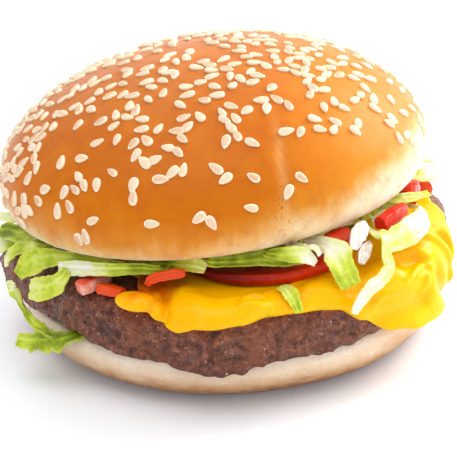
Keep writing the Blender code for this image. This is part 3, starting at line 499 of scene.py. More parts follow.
class Nodes:
    """The nodes of one tree."""

    def __init__(self, tree):
        self.tree = tree

    def add(self, kind, inputs=(), **settings):
        """A new node. Inputs are values, or sockets to link from."""
        made = self.tree.nodes.new("ShaderNode" + kind)
        for name, value in settings.items():
            setattr(made, name, value)
        for name, value in dict(inputs).items():
            if isinstance(value, bpy.types.NodeSocket):
                self.tree.links.new(value, made.inputs[name])
            else:
                made.inputs[name].default_value = value
        return made

    def spread(self, value, low, high, to_low=0.0, to_high=1.0):
        """The value with low to high mapped to to_low to to_high, clamped."""
        return self.add("MapRange", {
            "Value": value, "From Min": low, "From Max": high, "To Min": to_low, "To Max": to_high,
        }).outputs[0]

    def combined(self, operation, first, *rest):
        """The values added or multiplied, as the operation says."""
        for value in rest:
            first = self.add("Math", {0: first, 1: value}, operation=operation).outputs[0]
        return first

    def mixed(self, share, *colours):
        """The first of two colours where share is 0, and the second where it is 1."""
        a, b = (c if isinstance(c, bpy.types.NodeSocket) else (*c, 1) for c in colours)
        return self.add("Mix", {0: share, 6: a, 7: b}, data_type="RGBA").outputs[2]


class Paint(Nodes):
    """A material in the making, with body as its colour so far."""

    def __init__(self, name, roughness, **sockets):
        self.material = bpy.data.materials.new(name)
        self.material.use_nodes = True
        super().__init__(self.material.node_tree)
        self.shader = self.tree.nodes["Principled BSDF"]
        for socket, value in {"Roughness": roughness, **sockets}.items():
            self.shader.inputs[socket.replace("_", " ")].default_value = value
        self.body = None

    @cached_property
    def where(self):
        """The object's own coordinates in mm."""
        spot = self.add("TexCoord").outputs["Object"]
        return self.add("VectorMath", {0: spot, "Scale": 1 / TO_METRES}, operation="SCALE").outputs[0]

    def axis(self, index):
        """The coordinate along x, y or z in mm, for 0, 1 or 2."""
        return self.add("SeparateXYZ", {0: self.where}).outputs[index]

    def mark(self, name):
        """The number that the mesh carries under that name."""
        return self.add("Attribute", attribute_name=name).outputs["Fac"]

    def speckle(self, size, detail=3.0, roughness=0.55, distortion=0.0, squeeze=None):
        """Noise from 0 to 1 with features of about that many mm, squeezed along each axis."""
        where = self.where
        if squeeze:
            where = self.add("VectorMath", {0: where, 1: squeeze}, operation="MULTIPLY").outputs[0]
        return self.add("TexNoise", {
            "Vector": where, "Scale": 1 / size, "Detail": detail, "Roughness": roughness,
            "Distortion": distortion,
        }).outputs[0]

    def ramp(self, value, *stops):
        """Makes the colour follow the value, from (place, colour) stops."""
        made = self.add("ValToRGB", {"Fac": value})
        elements = made.color_ramp.elements
        while len(elements) < len(stops):
            elements.new(1)
        for element, (spot, colour) in zip(elements, stops):
            element.position = spot
            element.color = (*colour, 1)
        self.body = made.outputs[0]

    def tint(self, share, colour):
        """Mixes that share of the colour in."""
        self.body = self.mixed(share, self.body, colour)

    def dab(self, value, low, high, most, colour):
        """Mixes the colour in where the value rises from low to high, up to that share."""
        self.tint(self.spread(value, low, high, 0, most), colour)

    def drive(self, socket, value):
        self.tree.links.new(value, self.shader.inputs[socket])

    def finished(self, *layers):
        """The material, with bumps from (height socket, height in mm) layers."""
        self.drive("Base Color", self.body)
        normal = None
        for height, depth in layers:
            inputs = {"Height": height, "Distance": depth * TO_METRES, "Strength": 1.0}
            if normal:
                inputs["Normal"] = normal
            normal = self.add("Bump", inputs).outputs[0]
        self.drive("Normal", normal)
        return self.material


def crust_material():
    """Golden-brown crown, cream at its lower edge, with painted light: paler towards the right and at the
    far left edge, and a brighter golden band right of the crease.
    """
    paint = Paint(
        "crust", 0.45, Coat_Weight=0.16, Coat_Roughness=0.36, Specular_IOR_Level=0.06,
        Sheen_Weight=0.6, Sheen_Roughness=0.22,
    )
    across = paint.mark("side")
    streaks = paint.speckle(1.8, squeeze=(1, 1, 0.15))
    height = paint.combined(
        "ADD", paint.mark("rise"),
        paint.spread(paint.speckle(14, 2), 0.25, 0.75, 2.2, -2.2),
        paint.spread(streaks, 0.2, 0.8, 1.9, -0.1),
        # Painted light: paler towards the right, and a little paler at the far left edge as a painted
        # sheen.
        paint.spread(across, 6, 46, 0, -9),
        paint.spread(across, -20, -46, 0, -3.5),
    )
    paint.ramp(
        paint.spread(height, -16, 26),
        (0.0, (0.90, 0.80, 0.66)), (0.16, (0.88, 0.74, 0.55)), (0.25, (0.85, 0.63, 0.38)),
        (0.32, (0.76, 0.40, 0.12)), (0.38, (0.68, 0.235, 0.015)), (0.47, (0.61, 0.155, 0.001)),
        (0.75, (0.56, 0.135, 0.003)), (1.0, (0.55, 0.160, 0.022)),
    )
    mottle = paint.speckle(3.2, 4, 0.6)
    paint.dab(mottle, 0.48, 0.78, 0.45, (0.47, 0.100, 0.006))
    above = paint.spread(height, -3, 3)
    golden = paint.spread(paint.speckle(8), 0.50, 0.72, 0, 0.4)
    # Painted light: a brighter golden band to the right of the crease.
    painted_light_beside_crease = paint.spread(across, CREASE_X - 3, CREASE_X + 16, 0, 0.45)
    flecks = paint.spread(paint.speckle(0.6, 2), 0.58, 0.68, 0, 0.9)
    for share, other, colour in (
        (golden, above, (0.72, 0.23, 0.006)),
        (painted_light_beside_crease, above, (0.84, 0.32, 0.02)),
        (paint.mark("crease"), 0.35, (0.86, 0.52, 0.20)),
        (flecks, paint.mark("crumbled"), (0.33, 0.075, 0.012)),
    ):
        paint.tint(paint.combined("MULTIPLY", share, other), colour)
    paint.drive("Roughness", paint.spread(mottle, 0.3, 0.7, 0.38, 0.52))
    return paint.finished(
        (paint.speckle(5), 0.16), (paint.speckle(0.9, 4, 0.6), 0.06),
        (paint.speckle(0.28, 2, 0.6), 0.02),
    )


def crumb_material():
    """Pale soft heel, browner low down where it met the tin."""
    paint = Paint(
        "crumb", 0.6, Subsurface_Weight=0.10, Subsurface_Scale=0.002, Specular_IOR_Level=0.25,
    )
    patchy = paint.spread(paint.speckle(8), 0.25, 0.75, 1.4, -1.4)
    height = paint.combined("ADD", paint.axis(2), patchy)
    paint.ramp(
        paint.spread(height, 0, HEEL_TOP_Z),
        (0.0, (0.16, 0.046, 0.012)), (0.16, (0.24, 0.082, 0.024)), (0.32, (0.38, 0.165, 0.060)),
        (0.48, (0.60, 0.35, 0.18)), (0.70, (0.83, 0.62, 0.43)), (1.0, (0.92, 0.79, 0.66)),
    )
    lines, fine = paint.speckle(1.5, squeeze=(0.35, 0.35, 1.6)), paint.speckle(0.8)
    paint.dab(lines, 0.5, 0.8, 0.35, (0.86, 0.72, 0.52))
    paint.dab(fine, 0.5, 0.8, 0.3, (0.56, 0.33, 0.16))
    flecks = paint.spread(paint.speckle(0.9, 2), 0.66, 0.73, 0, 0.7)
    flecks = paint.combined("MULTIPLY", flecks, paint.spread(height, 4.5, 8))
    paint.tint(flecks, (0.95, 0.90, 0.82))
    return paint.finished((lines, 0.14), (paint.speckle(3.5), 0.2), (fine, 0.05))


def seed_material():
    """Cream seeds: a paler rim, a pinkish-beige middle, and each a little different."""
    paint = Paint("seed", 0.42, Subsurface_Weight=0.15, Subsurface_Scale=0.001)
    paint.ramp(
        paint.mark("shade"),
        (0.0, (0.86, 0.65, 0.45)), (0.6, (0.81, 0.53, 0.35)), (1.0, (0.72, 0.41, 0.24)),
    )
    paint.body = paint.mixed(paint.mark("heart"), (0.95, 0.82, 0.59), paint.body)
    fine = paint.speckle(0.4, 2)
    paint.dab(fine, 0.5, 0.8, 0.25, (0.96, 0.88, 0.72))
    return paint.finished((fine, 0.03))


def juice(paint, colour):
    """Wets the paint with tomato juice near the chopped pieces at the left."""
    away = paint.add("VectorMath", {0: paint.where, 1: JUICE_SPOT}, operation="DISTANCE")
    blurred = paint.spread(paint.speckle(2.5, 2), 0.3, 0.7, -1.5, 1.5)
    away = paint.combined("ADD", away.outputs["Value"], blurred)
    paint.dab(away, JUICE_REACH, JUICE_FULL, 0.9, colour)


def meat_material():
    """Seared minced beef: warm brown with purple-grey and reddish grains, wet with fat in spots, with
    painted shade in its crags and painted highlights as small pale specks.
    """
    paint = Paint(
        "meat", 0.5, Specular_IOR_Level=0.35, Subsurface_Weight=0.03, Subsurface_Scale=0.001,
        Coat_Weight=0.16, Coat_Roughness=0.14,
    )
    paint.ramp(
        paint.speckle(1.5, 5, 0.64, 0.5),
        (0.26, (0.022, 0.005, 0.003)), (0.42, (0.135, 0.033, 0.014)), (0.56, (0.285, 0.082, 0.040)),
        (0.70, (0.46, 0.180, 0.105)), (0.82, (0.66, 0.38, 0.275)),
    )
    paint.dab(paint.speckle(5.5), 0.46, 0.66, 0.6, (0.30, 0.085, 0.028))
    paint.dab(paint.speckle(3.4, squeeze=(1, 1, 1.3)), 0.54, 0.74, 0.5, (0.215, 0.098, 0.092))
    paint.dab(paint.speckle(0.8, 3, 0.6), 0.54, 0.66, 0.6, (0.050, 0.011, 0.006))
    paint.dab(paint.axis(2), 13.6, 10.8, 0.7, (0.095, 0.018, 0.008))
    # Painted shade in the sunken crags and on the underside.
    paint.tint(paint.mark("deep"), (0.040, 0.010, 0.006))
    juice(paint, (0.30, 0.030, 0.002))
    # Painted highlights: small pale specks that stand in for glints on the fat.
    paint.dab(paint.speckle(0.7, 2), 0.67, 0.73, 0.75, (0.78, 0.58, 0.49))
    paint.drive("Roughness", paint.spread(paint.speckle(2.2, 2), 0.45, 0.65, 0.62, 0.24))
    return paint.finished(
        (paint.speckle(2.3, 3, 0.6), 0.85), (paint.speckle(1.1, 4, 0.65), 0.90),
        (paint.speckle(0.4, 3, 0.6), 0.24),
    )


def cheese_material():
    """Melted yellow cheese, glossy and slightly clear."""
    paint = Paint(
        "cheese", 0.36, Subsurface_Weight=0.15, Subsurface_Scale=0.0015,
        Subsurface_Radius=(1.0, 0.5, 0.02), Coat_Weight=0.25, Coat_Roughness=0.05,
        Specular_IOR_Level=0.02,
    )
    # Painted light: a touch yellower towards the right, where the light shines through the slice.
    paint.body = paint.mixed(paint.spread(paint.axis(0), 14, 44), (1.0, 0.49, 0.0), (1.0, 0.52, 0.0))
    paint.dab(paint.speckle(9), 0.5, 0.72, 0.6, (1.0, 0.60, 0.001))
    juice(paint, (0.72, 0.085, 0.002))
    return paint.finished((paint.speckle(3.2, 2), 0.36), (paint.speckle(0.9, 2), 0.05))


def tomato_material():
    """Wet cut tomato: red skin and flesh with pale cut faces, painted shade at the slices' left and painted
    light at their right.
    """
    paint = Paint(
        "tomato", 0.25, Subsurface_Weight=0.25, Subsurface_Scale=0.0015,
        Subsurface_Radius=(1.0, 0.15, 0.05), Coat_Weight=0.25, Coat_Roughness=0.08,
        Specular_IOR_Level=0.1,
    )
    veins = paint.speckle(1.6, 4, 0.6, 0.6, squeeze=(1, 1, 0.6))
    paint.body = paint.mixed(paint.spread(veins, 0.45, 0.75), (0.66, 0.008, 0.002), (0.80, 0.042, 0.008))
    pale = paint.mixed(paint.spread(veins, 0.3, 0.7), (0.92, 0.30, 0.20), (0.95, 0.64, 0.52))
    paint.tint(paint.mark("pale"), pale)
    # An orange tint on the chopped pieces and the strip, and painted light towards the right of the slices.
    paint.tint(paint.mark("orange"), (0.84, 0.085, 0.004))
    # Painted shade towards the left of the slices.
    paint.tint(paint.mark("dark"), (0.15, 0.004, 0.002))
    return paint.finished((veins, 0.08), (paint.speckle(0.5, 2), 0.02))


def onion_material():
    """Watery white onion with fine lines, pinkish at its edges."""
    paint = Paint(
        "onion", 0.25, Subsurface_Weight=0.4, Subsurface_Scale=0.002, Coat_Weight=0.2,
        Coat_Roughness=0.15,
    )
    lines = paint.speckle(0.6, squeeze=(1, 1, 0.3))
    paint.body = paint.mixed(paint.spread(lines, 0.35, 0.7), (0.74, 0.62, 0.54), (0.96, 0.93, 0.87))
    paint.tint(paint.mark("blush"), (0.82, 0.44, 0.46))
    return paint.finished((lines, 0.06))


def leaf_material():
    """Iceberg lettuce: green where thin, nearly white along ribs, brighter at the edges."""
    paint = Paint(
        "leaf", 0.36, Subsurface_Weight=0.35, Subsurface_Scale=0.0015,
        Subsurface_Radius=(0.8, 1.0, 0.1), Coat_Weight=0.35, Coat_Roughness=0.16,
        Specular_IOR_Level=0.15,
    )
    veins = paint.speckle(1.1, 2, 0.5, 0.6, squeeze=(0.6, 0.6, 1.4))
    pale = paint.combined(
        "ADD", paint.mark("pale"),
        paint.spread(paint.speckle(5, 2), 0.3, 0.7, -0.2, 0.2), paint.spread(veins, 0.5, 0.75, 0, 0.16),
    )
    paint.ramp(
        pale,
        (0.0, (0.16, 0.22, 0.003)), (0.22, (0.36, 0.46, 0.008)), (0.45, (0.60, 0.70, 0.06)),
        (0.7, (0.78, 0.84, 0.30)), (1.0, (0.92, 0.93, 0.76)),
    )
    paint.tint(paint.combined("MULTIPLY", paint.mark("edge"), 0.45), (0.76, 0.80, 0.14))
    return paint.finished((veins, 0.16), (paint.speckle(0.5), 0.05))


# Bun.


def heel_shape(count=240):
    """Top face to underside: a rounded shoulder, a belly and a curve in to the flat base."""
    profile = [
        (HEEL_TOP_RADIUS + (HEEL_RADIUS - HEEL_TOP_RADIUS) * math.sin(a),
         HEEL_WIDEST_Z + (HEEL_TOP_Z - HEEL_WIDEST_Z) * math.cos(a))
        for a in arc(0, 90, 12)
    ]
    profile += [
        (HEEL_BASE_RADIUS + (HEEL_RADIUS - HEEL_BASE_RADIUS) * math.cos(a) ** HEEL_BELLY_POWER,
         HEEL_WIDEST_Z * (1 - math.sin(a)))
        for a in arc(5, 90, 22)
    ]
    rings = []
    for radius, z in profile:
        # The wrinkles are deepest half way up, and the faces that rest have none.
        wrinkled = between(z, 0.2, 3) * between(z, HEEL_TOP_Z, HEEL_TOP_Z - 1.5)
        ring = []
        for azimuth in azimuths(count):
            point = place(radius, azimuth, z)
            swell = unevenness(point, BUN_UNEVENNESS, HEEL_SWELL_SIZE)
            sizes = (HEEL_WRINKLE_LENGTH, HEEL_WRINKLE_LENGTH, HEEL_WRINKLE_WIDTH)
            scaled = [number / size for number, size in zip(point, sizes)]
            swell += unevenness(scaled, HEEL_WRINKLES, 1) * wrinkled
            ring.append(place(radius + swell, azimuth, z))
        rings.append(ring)
    return ringed(rings)


def crown_frame(point):
    """From the crown's own frame, level and centred on its widest line, to where it lies."""
    return Euler((0, CROWN_TILT, 0)).to_matrix() @ Vector(point) + CROWN_CENTRE


def crease_depth(point):
    """How much of the crease there is at a point of the crown's own frame, from 0 to 1."""
    if point.y > 0:
        return 0.0
    wander = CREASE_X + unevenness((0, 0, point.z), *CREASE_WANDER)
    depth = math.exp(-(((point.x - wander) / CREASE_WIDTH) ** 2))
    return depth * between(point.z, CREASE_TOP, CREASE_FULL)


def dome_point(azimuth, climb):
    """A point of the dome in the crown's frame. climb is 0 at the widest line and 90 on top."""
    a = math.radians(climb)
    point = place(CROWN_RADIUS * math.cos(a), azimuth, CROWN_DOME * math.sin(a))
    return point * (1 + unevenness(point, BUN_UNEVENNESS, CROWN_SWELL_SIZE) / CROWN_RADIUS)


def crown_shape(count=288, steps=60):
    """The dome with its crease, and the rounded edge below, with fine upright wrinkles."""
    rings = [[dome_point(0, 90)]]
    for step in range(1, steps + 1):
        rings.append([dome_point(azimuth, 90 - 90 * step / steps) for azimuth in azimuths(count)])
    for a in arc(0, 90, 14)[1:]:
        radius = CROWN_CUT_RADIUS + (CROWN_RADIUS - CROWN_CUT_RADIUS) * math.cos(a)
        z = -CROWN_BELOW_WIDEST * math.sin(a)
        rings.append([place(radius, azimuth, z) for azimuth in azimuths(count)])
    points, faces, _ = ringed(rings)
    relieved, creases, crumbled = [], [], []
    for point in points:
        outward = Vector((point.x, point.y, 3 * point.z)).normalized()
        crease = crease_depth(point)
        turn = math.degrees(math.atan2(point.x, -point.y))
        scaled = (turn / CROWN_WRINKLE_TURN, point.z / CROWN_WRINKLE_LENGTH, 3)
        wrinkled = unevenness(scaled, CROWN_WRINKLES, 1) * between(point.z, 9, 1)
        wrinkled *= between(point.z, -CROWN_BELOW_WIDEST, -5)
        dimples = unevenness(point, *CROWN_DIMPLES)
        relieved.append(crown_frame(point + outward * (wrinkled + dimples - CREASE_DEPTH * crease)))
        creases.append(crease)
        near = math.exp(-(((point.x - CRUMBS_X) / CRUMBS_WIDTH) ** 2)) if point.y < 0 else 0
        crumbled.append(near * between(point.z, 11, 6) * between(point.z, -8, -3))
    marks = {"crease": creases, "crumbled": crumbled}
    marks.update({"rise": [point.z for point in points], "side": [point.x for point in points]})
    return relieved, faces, marks


def seed_share(azimuth, climb):
    """How thickly the seeds lie there, from 0 to 1: few on the lower right of the front."""
    low = clamped((climb - SEED_THIN_TO) / (SEED_THIN_FROM - SEED_THIN_TO))
    bare = clamped((SEED_BARE_TO - climb) / (SEED_BARE_TO - SEED_BARE_FROM))
    bare *= lump(azimuth, *SEED_BARE)
    return (SEED_LOW_SHARE + (1 - SEED_LOW_SHARE) * low) * (1 - bare)


def seed_places():
    """(azimuth, climb, spin) of each seed. Some of them fall beside an earlier one."""
    draw = np.random.RandomState(SEED_RANDOM_STATE)
    found, spots = [], []
    for _ in range(40 * SEED_DRAWS):
        azimuth = draw.uniform(0, 360)
        climb = math.degrees(math.asin(draw.uniform(-0.07, 1)))
        spin, luck, follow = draw.uniform(0, 360), draw.uniform(), draw.uniform()
        turn, step = draw.uniform(0, 360), draw.uniform(*SEED_STEP)
        if follow < SEED_FOLLOWING and found:
            near = found[int(luck * len(found)) % len(found)]
            climb = near[1] + math.degrees(step * math.cos(math.radians(turn)) / SEED_CLIMB_RADIUS)
            across = max(SEED_TURN_RADIUS, CROWN_RADIUS * math.cos(math.radians(near[1])))
            azimuth = near[0] + math.degrees(step * math.sin(math.radians(turn)) / across)
        elif luck > seed_share(azimuth, climb):
            continue
        if not SEED_LOWEST < climb < SEED_HIGHEST:
            continue
        spot = dome_point(azimuth, climb)
        if any((spot - other).length < SEED_SPACING for other in spots):
            continue
        found.append((azimuth, climb, spin))
        spots.append(spot)
        if len(found) == SEED_DRAWS:
            break
    return found


def seed_shape(azimuth, climb, spin, look, sides=14):
    """A drop: pointed at one end, blunt at the other, flattened and sunk into the crust."""
    spot = dome_point(azimuth, climb)
    outward = Vector((
        spot.x / CROWN_RADIUS**2, spot.y / CROWN_RADIUS**2, spot.z / CROWN_DOME**2,
    )).normalized()
    level = Vector((0, 0, 1)).cross(outward).normalized()
    a = math.radians(spin)
    along = level * math.cos(a) + outward.cross(level) * math.sin(a)
    along = (along + outward * look.uniform(-0.12, 0.12)).normalized()
    across = outward.cross(along)
    size, shade = look.uniform(0.86, 1.08), look.uniform()
    plump = look.uniform(0.88, 1.1)
    centre = spot + outward * (SEED_THICKNESS / 2 - SEED_SINK)
    rings, heart = [], []
    for a in arc(0, 180, 10):
        reach = 0.5 * math.cos(a)
        # The girth swells towards the blunt end, and the other end comes to a soft point.
        girth = math.sin(a) ** 0.9 * (1 - 0.62 * reach - 0.25 * reach * reach)
        middle = centre + along * (reach * SEED_LENGTH * size)
        if abs(reach) > 0.4999:
            rings.append([middle])
            heart.append(0)
            continue
        ring = []
        for azimuth_round in azimuths(sides):
            b = math.radians(azimuth_round)
            side, rise = math.sin(b), math.cos(b)
            ring.append(
                middle + across * (0.5 * girth * SEED_WIDTH * size * plump * side)
                + outward * (0.5 * girth**0.6 * SEED_THICKNESS * math.copysign(abs(rise) ** 0.8, rise))
            )
            heart.append(between(1 - max(abs(side), abs(2 * reach)), 0.12, 0.42) * (rise > 0))
        rings.append(ring)
    points, faces, marks = ringed(rings, heart=heart)
    marks["shade"] = [shade] * len(points)
    return [crown_frame(point) for point in points], faces, marks


# Patty and cheese.


def patty_radius(azimuth):
    return PATTY_RADIUS + sum(lump(azimuth, *bump) for bump in PATTY_LUMPS)


def patty_profile():
    """(inset, z) from the edge of the flat top down to the underside."""
    profile = [
        (PATTY_TOP_EDGE * (1 - math.sin(a)), PATTY_MIDDLE + (PATTY_TOP - PATTY_MIDDLE) * math.cos(a))
        for a in arc(0, 90, 24)
    ]
    for low, high in zip((profile[-1], *PATTY_LOW_SIDE), PATTY_LOW_SIDE):
        steps = max(2, round((low[1] - high[1]) / PATTY_STEP))
        for k in range(1, steps + 1):
            t = k / steps
            profile.append((low[0] + (high[0] - low[0]) * t, low[1] + (high[1] - low[1]) * t))
    return profile


def patty_shape(count=560):
    """The pressed disc, with coarse crags as in its solid and finer ones between them."""
    rings, deep = [], []
    for share in (0.45, 0.7, 0.85):
        rings.append([
            place(share * patty_radius(azimuth), azimuth, PATTY_TOP) for azimuth in azimuths(count)
        ])
        deep.extend([0.0] * count)
    for inset, z in patty_profile():
        lowness = clamped((PATTY_SAG_TOP - z) / PATTY_SAG_DEPTH)
        roughness = min(
            1, (PATTY_TOP - z) / PATTY_FADE_ABOVE, (z - PATTY_UNDERSIDE + 0.1) / PATTY_FADE_BELOW)
        ring = []
        for azimuth in azimuths(count):
            sagged = z + lowness * eased(azimuth, PATTY_SAG)
            sagged += lowness * unevenness(place(60, azimuth, 0), *PATTY_HEM)
            radius = patty_radius(azimuth) - inset
            point = place(radius, azimuth, sagged)
            crag = sum(unevenness(point, PATTY_CRAGS, size) for size in PATTY_CRAG_SIZES)
            grain = sum(unevenness(point, height, size) for size, height in PATTY_GRAIN)
            lift = crag * roughness + grain * max(0.3, roughness)
            ring.append(place(radius + lift, azimuth, sagged))
            # Painted shade, darkest in the sunken crags.
            deep.append(between(crag + grain, -0.15, -0.75) * 0.8)
        rings.append(ring)
    rings.append([
        place(HEEL_TOP_RADIUS - 0.5, azimuth, PATTY_UNDERSIDE + max(0, eased(azimuth, PATTY_SAG)))
        for azimuth in azimuths(count)
    ])
    # The underside gets painted shade in full.
    deep.extend([1.0] * count)
    return ringed(rings, deep=deep)


def over_patty(azimuth, along, lift):
    """A point lift above the patty's skin, along it by that far from the middle of its top."""
    half = PATTY_TOP - PATTY_MIDDLE
    flat = patty_radius(azimuth) - PATTY_TOP_EDGE
    quarter = math.pi / 4 * (PATTY_TOP_EDGE + half)
    if along < flat:
        return place(along, azimuth, PATTY_TOP + lift)
    turn = (along - flat) / quarter * math.pi / 2
    if turn < math.pi / 2:
        return place(
            flat + (PATTY_TOP_EDGE + lift) * math.sin(turn),
            azimuth,
            PATTY_MIDDLE + (half + lift) * math.cos(turn),
        )
    return place(flat + PATTY_TOP_EDGE + lift, azimuth, PATTY_MIDDLE - (along - flat - quarter))


def ridge_height(azimuth, along):
    """The melted ridges and hollows there. Azimuths are taken as arc lengths at the rim."""
    spot = Vector((math.radians(apart(azimuth, 0)) * PATTY_RADIUS, along))
    total = 0.0
    for *ends, width, height in CHEESE_RIDGES:
        a, b = (Vector((math.radians(turn) * PATTY_RADIUS, reach)) for turn, reach in ends)
        t = clamped((spot - a).dot(b - a) / (b - a).length_squared)
        total += height * math.exp(-(((spot - a.lerp(b, t)).length / width) ** 2))
    return total


def on_side(azimuth, along):
    """0 where the cheese lies on the patty's flat top, and 1 where it hangs down the side."""
    return clamped((along - (patty_radius(azimuth) - PATTY_TOP_EDGE) + 1) / CHEESE_TURN)


def cheese_lift(azimuth, along, thickness):
    """How far that share of the cheese's thickness lies above the patty's skin there."""
    hung = on_side(azimuth, along)
    lift = CHEESE_TOP_GAP + (CHEESE_SIDE_GAP - CHEESE_TOP_GAP) * hung
    if thickness <= 0:
        return lift - CHEESE_CLING * hung
    draped = lump(azimuth, *CHEESE_DRAPE) * hung
    fold = unevenness((azimuth / 2, along / 3, 0), CHEESE_FOLDS, CHEESE_FOLD_SIZE) * hung
    full = CHEESE_THICKNESS + draped + fold
    return lift + thickness * (full + ridge_height(azimuth, along))


def cheese_point(azimuth, share, thickness):
    """share is 0 where the slice is still flat and 1 at its edge. thickness is 0 to 1 through it."""
    flat = patty_radius(azimuth) - PATTY_TOP_EDGE
    edge = flat + eased(azimuth, CHEESE_EDGE)
    edge += unevenness((azimuth / CHEESE_HEM_TURN, 0, 0), CHEESE_HEM, 1)
    start = min(CHEESE_FLAT_SHARE * flat, CHEESE_FLAT_REACH * edge)
    along = start + (edge - start) * share
    lift = cheese_lift(azimuth, along, thickness)
    if thickness > 0:
        # The edge thins out where it has melted down on the meat.
        lift -= CHEESE_THINNING * between(share, 0.86, 1.0) * on_side(azimuth, along)
    return over_patty(azimuth, along, lift)


def cheese_shape(count=360, steps=26):
    """Over the top from the middle to the melted edge, round it and back along the patty."""
    middle = CHEESE_OPENING * PATTY_RADIUS
    top = PATTY_TOP + CHEESE_TOP_GAP
    shares = [0.98 * (1 - (1 - k / steps) ** 1.4) for k in range(steps + 1)]
    route = [(share, 1) for share in shares]
    route += [(1, thickness) for thickness in (0.75, 0.45, 0.2)]
    route += [(share, 0) for share in reversed(shares)]
    rings = [[cheese_point(azimuth, *spot) for azimuth in azimuths(count)] for spot in route]
    above, below = (
        [place(middle, azimuth, z) for azimuth in azimuths(count)]
        for z in (top + CHEESE_THICKNESS, top)
    )
    return ringed([above, *rings, below])


def lobe_shape(centre, sizes, turn, dip, sides=40):
    """A rounded fold of cheese: an ellipsoid with those half sizes, dipped and turned."""
    turned = Euler((0, math.radians(dip), math.radians(turn))).to_matrix()
    rings = []
    for a in arc(90, -90, 20):
        sides_here = 1 if abs(math.cos(a)) < 0.01 else sides
        ring = []
        for azimuth in azimuths(sides_here):
            spot = place(math.cos(a), azimuth, math.sin(a))
            scaled = Vector([number * size for number, size in zip(spot, sizes)])
            ring.append(turned @ scaled + Vector(centre))
        rings.append(ring)
    return ringed(rings)


def fold_shape(radius, sunk, spots, sides=12):
    """A rounded fold that lies on the cheese through those spots and sinks in at its ends."""
    steps = 10 * len(spots)
    centres = []
    for k, spot in enumerate(smooth_route([(*spot, 0) for spot in spots], steps)):
        sink = radius * (sunk + 1.4 * between(abs(2 * k / steps - 1), 0.7, 1))
        centres.append(over_patty(spot.x, spot.y, cheese_lift(spot.x, spot.y, 1) - sink))
    rings = []
    for k, centre in enumerate(centres):
        ahead = (centres[min(k + 1, steps)] - centres[max(k - 1, 0)]).normalized()
        side = ahead.cross(Vector((0, 0, 1))).normalized()
        up = side.cross(ahead)
        rings.append([
            centre + (side * math.cos(a) + up * math.sin(a)) * radius
            for a in (2 * math.pi * i / sides for i in range(sides))
        ])
    return ringed(rings)


def melted(shape):
    """The shape's bodies flowed into one skin."""
    points, faces, _ = shape
    obj = new_object("melt", points, faces)
    remesh = obj.modifiers.new("Remesh", "REMESH")
    remesh.mode = "VOXEL"
    remesh.voxel_size = CHEESE_VOXEL * TO_METRES
    smooth = obj.modifiers.new("Smooth", "CORRECTIVE_SMOOTH")
    smooth.iterations = CHEESE_SMOOTHING
    smooth.smooth_type = "LENGTH_WEIGHTED"
    smooth.use_only_smooth = True
    bpy.context.view_layer.update()
    done = bpy.data.meshes.new_from_object(obj.evaluated_get(bpy.context.evaluated_depsgraph_get()))
    new_points = [v.co / TO_METRES for v in done.vertices]
    new_faces = [list(p.vertices) for p in done.polygons]
    rough = obj.data
    bpy.data.objects.remove(obj)
    for mesh in (rough, done):
        bpy.data.meshes.remove(mesh)
    return new_points, new_faces, {}


# Tomato and onion.


def slice_shape(side, count=120):
    """A round slice with a rounded skin, paler towards its middle, at rest on the cheese."""
    azimuth = SLICE_AZIMUTHS[side]
    centre = place(SLICE_DISTANCES[side], azimuth, 0)
    middle, half = (SLICE_TOP + SLICE_UNDERSIDE) / 2, (SLICE_TOP - SLICE_UNDERSIDE) / 2
    profile = [(inset, half) for inset in SLICE_INSETS]
    profile += [(SLICE_SKIN * (1 - math.cos(a)), half * math.sin(a)) for a in arc(90, -90, 10)]
    profile += [(inset, -half) for inset in reversed(SLICE_INSETS)]
    rings, pale, dark, orange = [], [], [], []
    for inset, height in profile:
        ring = []
        for turn in azimuths(count):
            hem = unevenness((turn / SLICE_HEM_TURN, azimuth, 0), *SLICE_HEM)
            radius = SLICE_RADII[side] - inset + hem
            point = centre + place(radius, turn, middle + height)
            ring.append(point + Vector((0, 0, unevenness(point, *SLICE_DENTS))))
            pale.append(between(inset, 0.8, 5) * 0.25)
            # Painted shade at the left and painted light at the right.
            dark.append(0.9 * between(point.x, SLICE_PAINTED_SHADE_TO, SLICE_PAINTED_SHADE_FROM))
            orange.append(0.35 * between(point.x, SLICE_PAINTED_SHADE_FROM, SLICE_PAINTED_SHADE_TO))
        rings.append(ring)
    return ringed(rings, pale=pale, dark=dark, orange=orange)


def wedge_shape(centre, length, width, height, turn, dip, pale_front, orange):
    """A chopped piece with flat cut faces and crisp edges, its ends cut askew."""
    turned = Euler((0, math.radians(dip), math.radians(turn))).to_matrix()
    corners = []
    for (y, z), (next_y, next_z) in zip(WEDGE_OUTLINE, WEDGE_OUTLINE[1:] + WEDGE_OUTLINE[:1]):
        for t in (0.05, 0.2, 0.4, 0.6, 0.8, 0.95):
            corners.append((y + (next_y - y) * t, z + (next_z - z) * t))
    shares = [-0.5, -0.485] + [-0.46 + 0.92 * k / 16 for k in range(17)] + [0.485, 0.5]
    rings, pale = [], []
    for share in shares:
        size = np.interp(share, *zip(*WEDGE_TAPER))
        ring = []
        for y, z in corners:
            local = Vector((
                share * length + WEDGE_SKEW * y * width, y * width * size, z * height * size,
            ))
            point = turned @ local + Vector(centre)
            dent = Vector([unevenness(point + Vector(shift), *WEDGE_DENTS)
                           for shift in ((0, 0, 0), (9, 0, 0), (0, 9, 0))])
            ring.append(point + dent)
            front = between(-y, 0.30, 0.42) * between(z, 0.46, 0.36)
            pale.append(pale_front * max(front, 0.12))
        rings.append(ring)
    return ringed(rings, pale=pale, orange=[orange] * (len(shares) * len(corners)))


